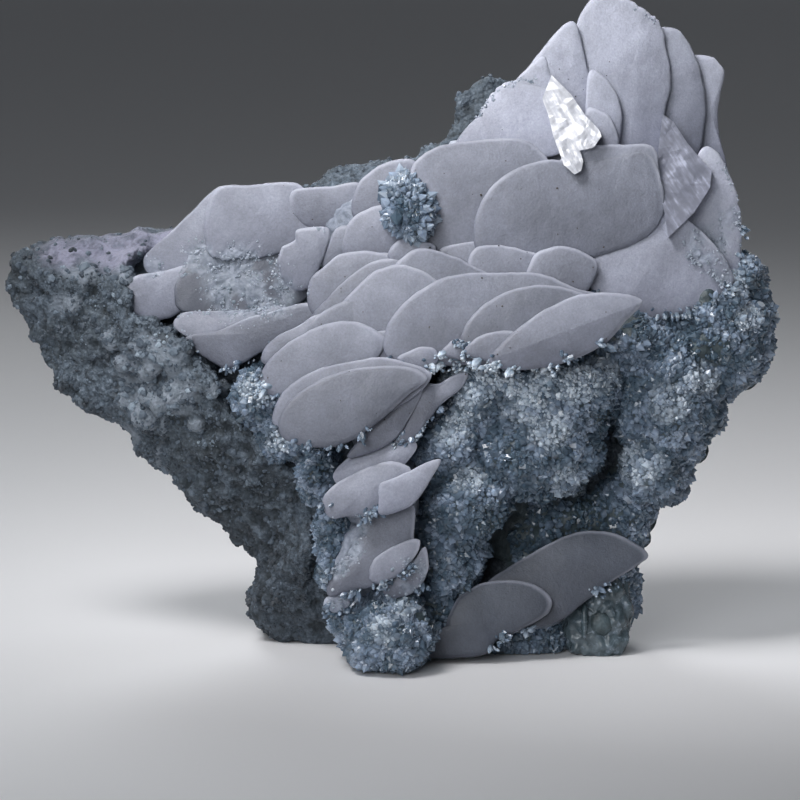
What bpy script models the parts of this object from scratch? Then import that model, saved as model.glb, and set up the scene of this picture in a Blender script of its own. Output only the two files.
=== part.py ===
"""A cabinet mineral specimen: frosted lens-shaped blades on a crust of small quartz crystals, in a pocket
of dark vesicular rock. Metres, +Z up. The origin is the centre of the rock's flat underside, and the open
side of the pocket looks towards -Y."""

from collections import namedtuple
from math import acos, atan2, cos, degrees, exp, hypot, radians, sin, tau
import random

import bmesh
import bpy
from mathutils import Vector

# Driving dimensions. Lengths in the tables below are millimetres, and MM makes them metres.
MM = 0.001
FACE_LEAN = radians(8)      # the open face leans back from upright by this angle
EYE_DISTANCE = 1000         # outlines on the face are as seen from a point this far in front of it
EYE_ACROSS, EYE_UP = -5.4, 45.3
BASE_CENTRE = (8, 16)       # the middle of the underside, right of and behind the face's own origin
FLOOR_EDGE, PLATE_RISE, SWELL_RISE = -8, 4, 12     # heights that shape the pocket's floor
GAP = 0.3                   # clearance between one piece and the piece it sits in
SEED = 7

ROCK_MIDDLE = (-4, 52)
# From the front round to the back, by degrees: the rock's share of its outline, and how far out it lies.
ROCK_SPREAD = [(0, 0), (20, 0.35), (50, 0.62), (90, 1), (125, 0.93), (155, 0.62), (180, 0)]
ROCK_DEPTH = [(0, 12), (20, 12), (50, 9), (90, -8), (125, -21), (155, -30), (180, -33)]
ROCK_FORWARD = 5                    # how far its right edge comes forward of its left
ROCK_VOXEL = 2.4
ROCK_SHARE = 0.12                   # share of the rock's facets that are kept
CRUST_VOXEL, CRUST_SHARE = 3, 0.175
TUFT_VOXEL, TUFT_SHARE = 1.8, 0.2
POINT_HEIGHT = 1.7                  # how far a druse crystal stands out of its crust
FACES_BACK = 0.35                   # a facet whose normal points back by more than this has no crystal
FLAT = radians(3)                   # facets that meet at less than this are made one
WELD = 0.00002                      # points closer than this are one
GLINT_BEVEL = 1.6                   # width of the slanting faces on the clear crystals
BLADE_FACET = 7                   # length of one facet along a blade's rim

Blade = namedtuple("Blade", "out lean swing thick root rim")
Lobe = namedtuple("Lobe", "across up out wide tall deep")

# Blades, each by the places on its rim (across, up), clockwise. Out is how far its middle stands out of
# the face's plane, lean and swing are how fast it comes forward going up and going across, thick is the
# plate's thickness and root is how far it runs back into what it grew on.
MAIN_BLADES = {
    "A": Blade(27, -0.12, -0.04, 2.6, 5, [(10.7, 52), (13.5, 56.2), (19, 60.5), (26, 64), (33, 64.6),
               (38.2, 63.2), (35.5, 59.7), (31.5, 55.5), (25, 52.2), (16, 50.6)]),
    "B": Blade(23.5, -0.12, -0.04, 2.6, 6, [(6, 54.5), (6.3, 58.5), (9.5, 62.3), (14.5, 65), (20, 66),
               (26, 65), (31, 62.5), (30, 56), (22, 52.5), (12, 52)]),
    "B_small": Blade(25, -0.1, 0, 1.8, 4, [(6.2, 53.8), (8, 56.2), (11, 57.4), (15, 57.6), (16, 54), (11, 52.3)]),
    "B_scale": Blade(23.5, -0.1, 0, 1.6, 4, [(2, 53.5), (3.4, 55.4), (5.5, 56.2), (8, 55), (6, 52.6)]),
    "C": Blade(20, -0.1, -0.03, 2.8, 6, [(-7.8, 53), (-8.1, 57.5), (-5.5, 62), (0, 66.2), (6, 68), (13, 68.2),
               (20, 68), (26, 65.5), (31, 63.5), (28, 57), (16, 52), (4, 51.5), (-3, 51.5)]),
    "C_scale": Blade(22.5, -0.1, 0, 1.6, 4, [(-5.8, 52.6), (-3.6, 54.2), (-1, 54.9), (1.2, 54.2), (1.2, 52),
               (-2, 50.5)]),
    "D": Blade(17, -0.1, 0.04, 2.6, 6, [(-17.4, 58.8), (-16.2, 62.3), (-12, 66.8), (-8.8, 69), (-4, 69.6),
               (2, 66), (4, 58), (-6, 54), (-13, 55)]),
    "D_upper": Blade(16, -0.1, -0.03, 2.4, 6, [(-6.5, 68.5), (-5, 71), (-2.5, 72.4), (0.5, 72.4), (4, 71.3),
               (8, 69.3), (12, 66.5), (10, 60), (2, 57), (-5, 62)]),
    "D_low": Blade(18.6, -0.1, 0, 2, 5, [(-16, 52.8), (-15.4, 55.2), (-12.5, 56.8), (-8.5, 57.8), (-5, 57),
               (-6, 52), (-11, 50.5)]),
    "D_back": Blade(14.2, -0.05, 0.04, 2.4, 6, [(-21.3, 60.3), (-18.8, 63.3), (-15.5, 66.6), (-12, 69.3),
               (-8, 70.8), (-4, 70), (-6, 62), (-14, 57), (-20, 57.5)]),
    "E": Blade(19, -0.1, 0.08, 2.6, 6, [(-30.8, 48), (-30, 51), (-27.5, 54), (-23.5, 56.9), (-18.5, 59),
               (-13, 59.3), (-8, 56), (-12, 50), (-20, 46), (-28, 46)]),
    "E_back": Blade(16.4, -0.1, 0.08, 2.2, 6, [(-30.1, 52), (-29.6, 54.8), (-27, 57.1), (-23.5, 58.8),
               (-20.5, 60.6), (-16, 61), (-18, 55), (-25, 51)]),
    "E_strip": Blade(17, -0.1, 0.05, 2, 6, [(-22.4, 57.4), (-20.6, 60), (-17.5, 62.2), (-13, 63.5), (-11, 60),
               (-14, 56.5), (-19, 55.8)]),
    "F": Blade(25.5, -0.12, 0.04, 2.8, 5, [(-27.3, 40), (-26.6, 43.4), (-23.5, 46.6), (-18, 49.8), (-11, 51.3),
               (-4, 51.3), (-0.3, 49.3), (-3.5, 46.5), (-8.5, 42), (-13.5, 38.2), (-19, 36.6), (-25, 37.6)]),
    "F_back": Blade(23.4, -0.12, 0.04, 2.4, 6, [(-28.1, 41), (-27.6, 45), (-24.8, 48.3), (-20, 50.9),
               (-14, 52.2), (-9.5, 53), (-5, 52.3), (-1, 51), (0.1, 49.2), (-4, 45), (-14, 40), (-24, 38.5)]),
    "F_strip": Blade(23.2, -0.1, -0.05, 2, 6, [(-4.6, 48), (-1.5, 48), (-1.6, 46), (-3.7, 42), (-6.3, 38.3),
               (-10, 36), (-14.8, 35), (-13, 38), (-9, 42.5)]),
    "F_right": Blade(21.6, -0.1, -0.08, 2, 6, [(-1.8, 47.8), (1.5, 48.2), (4.5, 49.9), (6.8, 50.1),
               (5.6, 47.4), (2.2, 44.6), (-0.8, 41), (-2.8, 38.4), (-5.8, 37.8), (-4.2, 41.8)]),
    "G": Blade(13, -0.05, 0.05, 2.4, 6, [(-22, 62.5), (-21.8, 66.5), (-19.8, 68.8), (-16.5, 71.4),
               (-13, 72.1), (-9.5, 71.9), (-6.5, 70.8), (-8, 64), (-15, 60), (-20, 60)]),
    "H": Blade(10.5, 0, 0.05, 2.2, 5, [(-15.7, 71.5), (-15.6, 74.8), (-14.2, 77.8), (-11.5, 79.6), (-8, 80.3),
               (-5, 78), (-5.5, 72), (-9, 69.5), (-13, 69.5)]),
    "H_small": Blade(14, 0, 0, 1.8, 4, [(-7.6, 70.8), (-6.6, 73.2), (-4.6, 74.4), (-1.5, 74), (1, 73),
               (0, 70), (-4, 69)]),
    "I": Blade(8, 0, 0.03, 2.4, 5, [(-14, 79), (-13.8, 82), (-12.5, 84.8), (-9.5, 87.3), (-6, 88.6),
               (-3, 88.5), (-1, 85), (-2, 78), (-7, 74.5), (-12, 76)]),
    "J": Blade(9.5, 0.05, 0.1, 2, 5, [(-19.5, 69.5), (-18.2, 73.8), (-16.8, 76.2), (-14.8, 76.6), (-13, 74),
               (-14, 70), (-17, 68.5)]),
    "N": Blade(13, -0.08, -0.02, 2.2, 6, [(1.5, 71.6), (4.5, 73.4), (9, 73.9), (13.5, 73.5), (17, 72.6),
               (20, 71.5), (22, 67), (14, 63), (5, 65)]),
    "N_front": Blade(15, -0.08, -0.02, 2, 5, [(7, 71), (8.5, 72.8), (12.5, 73.2), (16.5, 72.4), (20, 71),
               (22, 66), (16, 62), (9, 64), (7, 68)]),
    "N_right": Blade(15.5, -0.08, -0.05, 2.2, 6, [(18.5, 71), (21, 72.6), (24.5, 73), (27.5, 72), (30.2, 69.9),
               (29.6, 67), (27, 64), (21, 62), (17, 65)]),
    "L_left": Blade(0.5, -0.05, 0.22, 3, 6, [(-51.5, 70.8), (-47.5, 74.8), (-43.5, 78.6), (-38, 83.6),
               (-37.2, 78), (-38, 70), (-44, 66.5), (-50, 67.5)]),
    "L_top": Blade(2, -0.04, 0.03, 3, 7, [(-38.6, 83.2), (-32, 84), (-25.5, 84.6), (-22.5, 83.3), (-19, 78),
               (-22, 71), (-30, 66), (-38, 67), (-40.5, 75)]),
    "L_shelf": Blade(4, 0.05, 0.03, 2.6, 6, [(-24.5, 83), (-18, 83.7), (-12.8, 84.3), (-12, 80), (-15, 76.5),
               (-21, 76), (-25, 79)]),
    "L_rough": Blade(4.2, -0.12, 0.1, 2.4, 6, [(-44, 70), (-41, 73.4), (-36, 71.5), (-29, 69), (-24, 65.5),
               (-22, 63), (-30, 60.5), (-38, 60.5), (-45, 61.5), (-45.8, 66)]),
    "L_block": Blade(0.5, -0.05, 0.2, 3, 6, [(-55.3, 62.5), (-55, 66.2), (-53, 67.6), (-48, 68.2),
               (-44, 68.5), (-43.5, 63), (-46.5, 60.2), (-51, 59.8)]),
    "L_wedge": Blade(6.2, -0.3, 0.1, 2.4, 5, [(-46, 58.6), (-44.5, 61), (-39, 61.3), (-33, 61.6), (-26, 62.3),
               (-30, 58.5), (-36, 57), (-42, 56.2)]),
    "L_front": Blade(8.5, 0.12, 0.1, 2.6, 7, [(-44, 56.3), (-38, 57.9), (-33.5, 59.8), (-28, 61.4), (-22, 62.8),
               (-20.5, 60), (-25, 56.5), (-30, 54), (-35.5, 51.2), (-38.7, 51.8)]),
    "P": Blade(9.5, 0.05, 0.05, 1.8, 8, [(-27.6, 69.8), (-26.8, 72.6), (-24.4, 74.2), (-23.8, 76),
               (-19, 76.5), (-18, 75), (-19.3, 70.5), (-21.3, 66), (-23.5, 65), (-26.3, 66.3)]),
    "T_tall": Blade(4, -0.08, -0.05, 3.2, 7, [(26, 111), (27.8, 116), (31, 118.3), (35.5, 117.6), (39.5, 115),
               (41.6, 113), (42.6, 108), (43.4, 102.5), (42.3, 97), (41.5, 88), (39, 80), (30, 80),
               (27, 92), (25.5, 102)]),
    "T_left": Blade(6.4, -0.06, -0.05, 2.4, 6, [(17.5, 104), (20.5, 108.8), (24, 112.8), (26.2, 113.2),
               (27.5, 109), (28.7, 104), (30.3, 100), (31.2, 95), (30, 88), (22, 86), (18, 94)]),
    "T_lobe": Blade(8.6, -0.06, -0.03, 2.2, 5, [(14.5, 101), (17.5, 105), (20.4, 107.3), (21.6, 104.5),
               (23.5, 101), (27, 97), (29, 93), (26, 87), (19, 86), (14, 92)]),
    "T_scale": Blade(7, -0.05, -0.05, 1.8, 5, [(28.5, 104), (31, 103.8), (33.3, 101), (34.5, 97), (34.2, 92),
               (33, 87), (29, 86), (28, 95)]),
    "T_chip": Blade(8.6, -0.05, -0.05, 1.6, 5, [(28, 97), (31, 97.2), (32.8, 95.5), (34, 91.5), (32.5, 87),
               (28.5, 86)]),
    "T_ledge": Blade(9.4, 0.02, -0.04, 2.6, 6, [(23, 88), (29, 90.4), (35, 90.5), (39.5, 89.6), (41.5, 85.5),
               (42, 81), (36, 78.5), (29, 78), (23, 82)]),
    "T_front": Blade(12.4, -0.05, -0.03, 2.8, 6, [(8, 73.5), (8.1, 78), (10.5, 83), (15, 86.7), (20.5, 88.4),
               (26, 87.5), (31, 84.5), (33.5, 80.5), (30.5, 76), (27, 70), (18, 67), (10, 68)]),
    "T_low": Blade(10, -0.03, -0.12, 2.8, 7, [(29, 70), (30.8, 76.5), (34, 79.6), (40, 80.8), (44.5, 79),
               (49, 75.5), (53, 71), (54.5, 66), (50, 62.5), (42, 60), (33, 60), (29, 65)]),
    "T_bright": Blade(5.6, -0.08, 0, 3, 6, [(4.5, 91), (7.5, 95.5), (10, 99.3), (13, 102.3), (16.5, 103),
               (21, 102), (25, 98), (26, 91), (18, 85), (8, 85)]),
    "T_under": Blade(7, -0.06, 0.03, 2.8, 7, [(-4, 83), (-3, 87.7), (0.5, 90.5), (5, 92), (11, 91.8),
               (17, 90), (20, 86), (16, 77), (8, 71), (0, 72), (-3, 77)]),
    "T_small": Blade(10.4, 0, 0, 1.8, 4, [(1.3, 73), (1.6, 77), (3.3, 78.6), (5.8, 78.4), (7.6, 76),
               (8, 72.5), (5, 70.5), (2.5, 70.5)]),
    "T_right": Blade(1, -0.04, -0.1, 2.4, 5, [(40, 112), (44, 112.3), (46, 110.5), (47.7, 107.2),
               (48.9, 103.5), (49.6, 99), (49.4, 94), (47.5, 88), (43, 87), (40, 96), (39, 105)]),
    "T_edge": Blade(-1.6, -0.02, -0.12, 2.4, 4, [(46.5, 106.8), (50.5, 107.2), (52.2, 105.8), (53, 104),
               (52.2, 100), (51.8, 96), (52.3, 92), (53.5, 86), (50, 83), (46.5, 90), (46, 100)]),
    "T_facet": Blade(3, 0, -0.15, 2.6, 7, [(47, 90), (51.3, 90.3), (53.4, 87), (55.1, 83), (56.1, 78),
               (56.1, 73), (55, 66), (50, 62), (45.5, 70), (45, 80)]),
    "S_first": Blade(22.5, -0.1, 0, 2.4, 6, [(-17.4, 31.6), (-15.8, 34), (-12.5, 36), (-8.5, 37.6),
                   (-4.5, 38.1), (-2.3, 37.3), (-3.2, 35.3), (-5.5, 32.8), (-10, 30), (-15.5, 29.5)]),
    "S_second": Blade(24.5, -0.1, 0, 2.6, 6, [(-19.3, 26.3), (-18.6, 28.6), (-15.5, 31.2), (-11, 33.3),
                    (-7, 34.2), (-3.4, 33), (-5, 29.5), (-9, 26), (-12, 24.2), (-15, 24.3), (-17.8, 24)]),
    "S_slab_top": Blade(23.2, 0.05, -0.1, 2.6, 7, [(-10, 30.5), (-4.5, 32), (-2, 33.8), (1.8, 34.8),
                      (0.3, 32.3), (-1.5, 28.8), (-3.5, 26), (-6.5, 23.5), (-10.5, 24), (-10, 28)]),
    "S_slab": Blade(21, -0.05, -0.12, 3, 7, [(-18.6, 12), (-17.8, 14.8), (-15.2, 17.8), (-13.4, 21),
                  (-11, 24.6), (-7, 26.3), (-3, 26.4), (-3.3, 23.5), (-5.5, 19), (-8, 15), (-11.5, 12),
                  (-17.8, 10)]),
    "S_slab_low": Blade(19, -0.05, -0.1, 2.2, 6, [(-11, 14), (-10.2, 16.5), (-7, 18.8), (-3.5, 20.2),
                      (-1.8, 20), (-2.5, 17.5), (-5, 14.5), (-8.5, 12.4), (-10.5, 12.6)]),
    "S_lump": Blade(19.5, 0, 0, 3, 5, [(-19.3, 8.5), (-18, 10.8), (-15, 11.5), (-13, 8.5), (-16, 6.2), (-18, 6.8)]),
}
FOOT_BLADES = {
    "back": Blade(8, -0.1, -0.05, 2.6, 6, [(10, 11.5), (14, 15.1), (19, 18.1), (24, 20.7), (29.5, 21.8),
                  (34.5, 20.8), (39.2, 17.6), (37, 15.3), (32.5, 12.5), (28, 9), (22, 5), (14, 5)]),
    "front": Blade(11.5, -0.05, -0.03, 2.8, 6, [(-1.5, -0.9), (0, 2.5), (2.4, 5.5), (4.8, 9.9), (9, 12.2),
                   (13.5, 12.9), (18.5, 12.2), (21.8, 9.6), (21.2, 6.8), (17, 4.3), (12, 2), (9, -0.8)]),
}

# Lumps behind the main blades, which they share as their root.
BLADE_BEDS = [Lobe(5, 61, 4, 25, 9.5, 13.5), Lobe(-14, 50, 8, 11.5, 9, 12.5), Lobe(29, 88, -3, 13, 20, 8),
              Lobe(-31, 73, -3, 13, 9.5, 6), Lobe(-8, 75, 0, 12, 10, 9), Lobe(10, 86, -2, 14, 11, 9),
              Lobe(-9, 29, 12, 7, 8, 10), Lobe(-12, 17, 10, 5.5, 7, 10), Lobe(-8.5, 38.5, 11, 5, 6.5, 10),
              Lobe(47, 76, -2, 7, 11, 6), Lobe(-46, 66, -4, 8, 6, 5), Lobe(36, 100, -3, 8, 12, 6)]
FOOT_BEDS = [Lobe(16, 8, 3, 9, 5, 7)]

# Rounded lobes of the crust, and of the tuft that sits on the blades.
CRUST_LOBES = [
    Lobe(51.3, 57.9, -2, 10.2, 12.8, 14), Lobe(42.3, 47, 1, 10, 15.5, 14.5), Lobe(40.3, 33.2, -1, 6, 7.2, 14),
    Lobe(21.6, 46.4, 9, 13.4, 8.4, 12), Lobe(18, 37, 7, 13, 9.6, 11.5), Lobe(9, 47, 9, 8, 8, 11.5),
    Lobe(36, 56, 4, 8, 8, 12), Lobe(48, 63, 2, 8, 5, 9), Lobe(6.5, 26.4, 10, 7.6, 7, 9.5),
    Lobe(3, 38, 10, 6.8, 8.4, 9), Lobe(3, 16.5, 7, 6.6, 8, 9), Lobe(-7.2, 2.4, 17, 8, 7.4, 11),
    Lobe(56, 66.5, -2, 4.6, 5, 9), Lobe(-31, 45.3, 8, 4, 5.4, 7), Lobe(-20.2, 32.7, 9, 3.6, 5.8, 8),
    Lobe(-26, 39, 8, 5, 4.6, 8), Lobe(-17, 19.5, 8, 3.4, 8, 8), Lobe(23.4, 21.5, -5, 14, 8, 7),
    Lobe(34.5, 24, -6, 5.6, 9, 11), Lobe(30.4, 5.7, -5, 5.6, 8, 11), Lobe(16.2, 3, -3, 10, 6, 9),
    Lobe(-9, 23.7, 5, 9, 14, 9), Lobe(33, 12, -7, 4.6, 8, 11), Lobe(2, 8, 2, 7, 8, 9), Lobe(-8, 10, 6, 8, 8, 10),
]
TUFT_LOBES = [Lobe(-4.6, 82, 12, 4, 4.2, 5), Lobe(-2.2, 79, 12.5, 3.4, 4.6, 5.5), Lobe(-5.8, 78.6, 12.5, 3, 3.6, 5),
              Lobe(-2.6, 75.6, 13, 3, 2.6, 4.5)]

# Clear crystals: the corners of the front face (across, up), clockwise.
UPPER_GLINT = [(20.6, 99.6), (22.5, 101.8), (24.8, 99.4), (28, 95.8), (31.1, 92.6), (28.5, 90.1), (27.7, 86.6),
               (25.2, 85.4), (23.6, 88.5), (21.8, 94.5)]
RIGHT_GLINT = [(41.2, 96.2), (45, 92.7), (49.6, 88), (50.6, 83.5), (47.6, 79.4), (43.2, 74.4), (42, 79),
               (42.4, 84), (41.1, 90)]

# Outline of the rock (across, up), clockwise from the tip on the left.
ROCK_OUTLINE = [
    (-76, 69), (-72, 71.5), (-65, 74.5), (-55, 76), (-40, 79), (-24, 85.5), (-13, 92), (-5, 93.5), (0, 96),
    (6, 99), (9, 103.5), (14, 104.6), (23, 103), (34, 100), (45, 94), (51, 84), (54, 72), (56, 62), (55, 52),
    (50, 42), (46, 34), (38, 24), (36, 16), (35.5, 6), (33, -2), (20, -4), (0, -5), (-16, -3.5), (-26, 0.5),
    (-31, 6), (-29.5, 14), (-33.5, 19.5), (-37, 23.5), (-43, 27.5), (-45.5, 30.5), (-51, 32.5), (-54.5, 36.5),
    (-58, 39.5), (-64, 44), (-67, 48.5), (-71, 53.5), (-75, 61.5),
]
# The left edge of the pocket: (up, across) from the foot to the top.
POCKET_EDGE = [(-30, -23), (5, -23), (11, -22), (16, -21), (26, -21.5), (33, -24.5), (38, -29), (43, -35.5),
               (48, -37), (51, -40), (56, -48.5), (58.5, -57), (69, -57.5), (72, -52.5), (78, -50), (140, -50)]
# Gas holes and knobs on the rock's broken left face: across, up, radius.
ROCK_HOLES = [(-48.5, 50.5, 2), (-27, 9, 2.4), (-25, 19, 2), (-62, 62, 1.8), (-39, 41, 2.6), (-30, 28, 2.2)]
ROCK_KNOBS = [(-64, 69.5, 2.6), (-54.5, 69.5, 2.2), (-45, 46.5, 2.3), (-50.5, 47.5, 2.6), (-54.5, 38.5, 2.4)]


def clear_scene():
    for obj in list(bpy.data.objects):
        bpy.data.objects.remove(obj, do_unlink=True)
    for mesh in list(bpy.data.meshes):
        bpy.data.meshes.remove(mesh)


def on_face(across, up, out):
    """The place in the world of a point seen on the open face, out millimetres in front of its plane."""
    nearer = 1 - out / EYE_DISTANCE
    across = EYE_ACROSS + (across - EYE_ACROSS) * nearer
    up = EYE_UP + (up - EYE_UP) * nearer
    return MM * Vector((
        across - BASE_CENTRE[0],
        up * sin(FACE_LEAN) - out * cos(FACE_LEAN) - BASE_CENTRE[1],
        up * cos(FACE_LEAN) + out * sin(FACE_LEAN),
    ))


def between(table, key):
    """The value at key, on straight lines between a table's (key, value) pairs."""
    for (low, first), (high, last) in zip(table, table[1:]):
        if key <= high:
            return first + (last - first) * (key - low) / (high - low)
    return table[-1][1]


def along_loop(points, share):
    """The point at a share of the way round a smooth closed curve through the points."""
    place = share % 1 * len(points)
    first = int(place)
    t = place - first
    a, b, c, d = (Vector(points[(first + k) % len(points)]) for k in (-1, 0, 1, 2))
    return 0.5 * (2 * b + (c - a) * t + (2 * a - 5 * b + 4 * c - d) * t**2 + (3 * b - a - 3 * c + d) * t**3)


def perimeter(points):
    return sum((Vector(a) - Vector(b)).length for a, b in zip(points, points[1:] + points[:1]))


def add_object(name, bm, collection):
    bmesh.ops.recalc_face_normals(bm, faces=bm.faces)
    mesh = bpy.data.meshes.new(name)
    bm.to_mesh(mesh)
    bm.free()
    obj = bpy.data.objects.new(name, mesh)
    collection.objects.link(obj)
    return obj


def add_cutter(name, bm, collection):
    obj = add_object(name, bm, collection)
    obj.hide_render = True
    obj.display_type = "WIRE"
    return obj


def new_sphere(bm, around, bands):
    return bmesh.ops.create_uvsphere(bm, u_segments=around, v_segments=bands, radius=1)["verts"]


def add_blade(bm, blade, grow=0):
    """A plate with a bevelled rim in front and a cone-shaped root behind."""
    middle = sum((Vector(p) for p in blade.rim), Vector((0, 0))) / len(blade.rim)
    around = max(7, round(perimeter(blade.rim) / BLADE_FACET))
    verts = new_sphere(bm, around, 4)
    for vert in verts:
        share = hypot(vert.co.x, vert.co.y)
        if vert.co.z < -0.5:
            share = 0
        rim = along_loop(blade.rim, -atan2(vert.co.y, vert.co.x) / tau) - middle
        place = middle + share * (rim + grow * rim.normalized())
        out = blade.out + blade.lean * (place.y - middle.y) + blade.swing * (place.x - middle.x)
        if vert.co.z > 0:
            out += vert.co.z ** 0.5 * (blade.thick / 2 + grow)
        elif share == 0:
            out -= blade.thick / 2 + grow + blade.root
        vert.co = on_face(place.x, place.y, out)
    bmesh.ops.remove_doubles(bm, verts=verts, dist=WELD)


def add_lobe(bm, lobe, grow=0, around=8, bands=5, straight_back=False):
    """A rounded lump, which a straight back makes a round stump behind its middle."""
    for vert in new_sphere(bm, around, bands):
        x, y, z = vert.co
        if straight_back and -0.999 < z < 0:
            x, y = x / hypot(x, y), y / hypot(x, y)
        vert.co = on_face(
            lobe.across + x * (lobe.wide + grow),
            lobe.up + y * (lobe.tall + grow),
            lobe.out + z * (lobe.deep + grow),
        )


def blade_shells(blades, beds, grow=0):
    bm = bmesh.new()
    for blade in blades.values():
        add_blade(bm, blade, grow)
    for bed in beds:
        add_lobe(bm, bed, grow)
    return bm


def pocket_floor(across, up):
    """How far out the rock comes under the crust and the blades: a low swell on a plate that dips at its edges."""
    plate = exp(-((across / 42) ** 4) - ((up - 45) / 40) ** 4)
    swell = exp(-(((across + 10) / 26) ** 2) - ((up - 45) / 38) ** 2)
    return FLOOR_EDGE + PLATE_RISE * plate + SWELL_RISE * swell


def pocket_space(gap):
    """The space in front of the pocket's floor, as one solid, with its back moved away by gap."""
    bm = bmesh.new()
    bmesh.ops.create_grid(bm, x_segments=9, y_segments=12, size=1)
    bmesh.ops.triangulate(bm, faces=bm.faces)
    right, low, high, front = 90, -30, 140, 70
    for vert in bm.verts:
        up = low + (high - low) * (vert.co.y + 1) / 2
        left = between(POCKET_EDGE, up) - gap
        across = left + (right - left) * (vert.co.x + 1) / 2
        vert.co = (across, up, pocket_floor(across, up) - gap)
    ahead = bmesh.ops.extrude_face_region(bm, geom=bm.faces[:])["geom"]
    for vert in (v for v in ahead if isinstance(v, bmesh.types.BMVert)):
        vert.co.z = front
    for vert in bm.verts:
        vert.co = on_face(*vert.co)
    return bm


def box_space(low, high):
    bm = bmesh.new()
    size = Vector(high) - Vector(low)
    for vert in bmesh.ops.create_cube(bm, size=1)["verts"]:
        vert.co = MM * Vector(low[k] + (vert.co[k] + 0.5) * size[k] for k in range(3))
    return bm


def add_boolean(obj, operation, other):
    modifier = obj.modifiers.new(operation.title() + " " + other.name, "BOOLEAN")
    modifier.operation = operation
    modifier.object = other
    modifier.use_self = True


def keep_evaluated(obj):
    """Replaces the object's mesh by what its modifiers make of it."""
    graph = bpy.context.evaluated_depsgraph_get()
    mesh = bpy.data.meshes.new_from_object(obj.evaluated_get(graph))
    obj.modifiers.clear()
    obj.data = mesh


def add_displace(obj, name, noise_size, strength):
    texture = bpy.data.textures.new(name, "CLOUDS")
    texture.noise_scale = noise_size * MM
    texture.noise_depth = 2
    modifier = obj.modifiers.new(name, "DISPLACE")
    modifier.texture = texture
    modifier.texture_coords = "GLOBAL"
    modifier.strength = strength * MM


def rock_shape():
    """The whole rock: its outline at the widest, drawn in to a ridge in front and to a rough back."""
    middle = Vector(ROCK_MIDDLE)
    bm = bmesh.new()
    for vert in new_sphere(bm, 44, 14):
        turn = degrees(acos(max(-1, min(1, vert.co.z))))
        rim = along_loop(ROCK_OUTLINE, 0.5 - atan2(vert.co.y, vert.co.x) / tau)
        place = middle + between(ROCK_SPREAD, turn) * (rim - middle)
        rightness = max(0, min(1, (place.x + 10) / 40))
        out = between(ROCK_DEPTH, turn) + ROCK_FORWARD * rightness * sin(radians(turn))
        vert.co = on_face(place.x, place.y, out)
    return bm


def balls_on(rock, places):
    """Faceted balls, half sunk in the rock's front, at each place's across and up with its radius."""
    bm = bmesh.new()
    for across, up, radius in places:
        start = on_face(across, up, 60)
        _, middle, _, _ = rock.ray_cast(start, on_face(across, up, -60) - start)
        made = bmesh.ops.create_icosphere(bm, subdivisions=1, radius=radius * MM)["verts"]
        bmesh.ops.translate(bm, verts=made, vec=middle)
    return bm


def build_rock(collection, cutters, floor):
    rock = add_object("matrix", rock_shape(), collection)
    remesh = rock.modifiers.new("Even facets", "REMESH")
    remesh.mode = "VOXEL"
    remesh.voxel_size = ROCK_VOXEL * MM
    add_displace(rock, "Lumps", 18, 7)
    add_displace(rock, "Grain", 5, 2.4)
    thin = rock.modifiers.new("Fewer facets", "DECIMATE")
    thin.ratio = ROCK_SHARE
    keep_evaluated(rock)
    knobs = add_cutter("rock_knobs", balls_on(rock, ROCK_KNOBS), cutters)
    holes = add_cutter("rock_holes", balls_on(rock, ROCK_HOLES), cutters)
    add_boolean(rock, "UNION", knobs)
    add_boolean(rock, "DIFFERENCE", holes)
    add_boolean(rock, "DIFFERENCE", add_cutter("pocket", pocket_space(GAP), cutters))
    add_boolean(rock, "DIFFERENCE", floor)
    return rock


def build_crust(name, lobes, voxel, share, collection):
    """A crust of rounded lobes, each facet of which is raised to a crystal's point, but for its back."""
    bm = bmesh.new()
    for lobe in lobes:
        add_lobe(bm, lobe, around=16, bands=10, straight_back=True)
    crust = add_object(name, bm, collection)
    remesh = crust.modifiers.new("Even facets", "REMESH")
    remesh.mode = "VOXEL"
    remesh.voxel_size = voxel * MM
    add_displace(crust, name + " bumps", 4, 1.5)
    thin = crust.modifiers.new("Fewer facets", "DECIMATE")
    thin.ratio = share
    keep_evaluated(crust)
    bm = bmesh.new()
    bm.from_mesh(crust.data)
    chance = random.Random(SEED)
    for face in [f for f in bm.faces if f.normal.y < FACES_BACK]:
        normal = face.normal.copy()
        point = bmesh.ops.poke(bm, faces=[face])["verts"][0]
        point.co += normal * chance.uniform(0.5, 1) * POINT_HEIGHT * MM
    bm.to_mesh(crust.data)
    bm.free()
    return crust


def keep_body(obj):
    """Makes the object's cuts final and drops crumbs and closed voids, so that it is one body."""
    keep_evaluated(obj)
    bm = bmesh.new()
    bm.from_mesh(obj.data)
    bmesh.ops.remove_doubles(bm, verts=bm.verts, dist=WELD)
    bmesh.ops.dissolve_degenerate(bm, edges=bm.edges, dist=WELD)
    bmesh.ops.dissolve_limit(bm, angle_limit=FLAT, verts=bm.verts, edges=bm.edges)
    bmesh.ops.triangulate(bm, faces=bm.faces)
    bodies, unseen = [], set(bm.faces)
    while unseen:
        start = unseen.pop()
        body, fringe = {start}, [start]
        while fringe:
            joined = [edge for edge in fringe.pop().edges if len(edge.link_faces) == 2]
            near = {face for edge in joined for face in edge.link_faces} & unseen
            unseen -= near
            body |= near
            fringe.extend(near)
        bodies.append(body)
    bodies.sort(key=len)
    bmesh.ops.delete(bm, geom=[face for body in bodies[:-1] for face in body], context="FACES")
    bm.to_mesh(obj.data)
    bm.free()


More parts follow.
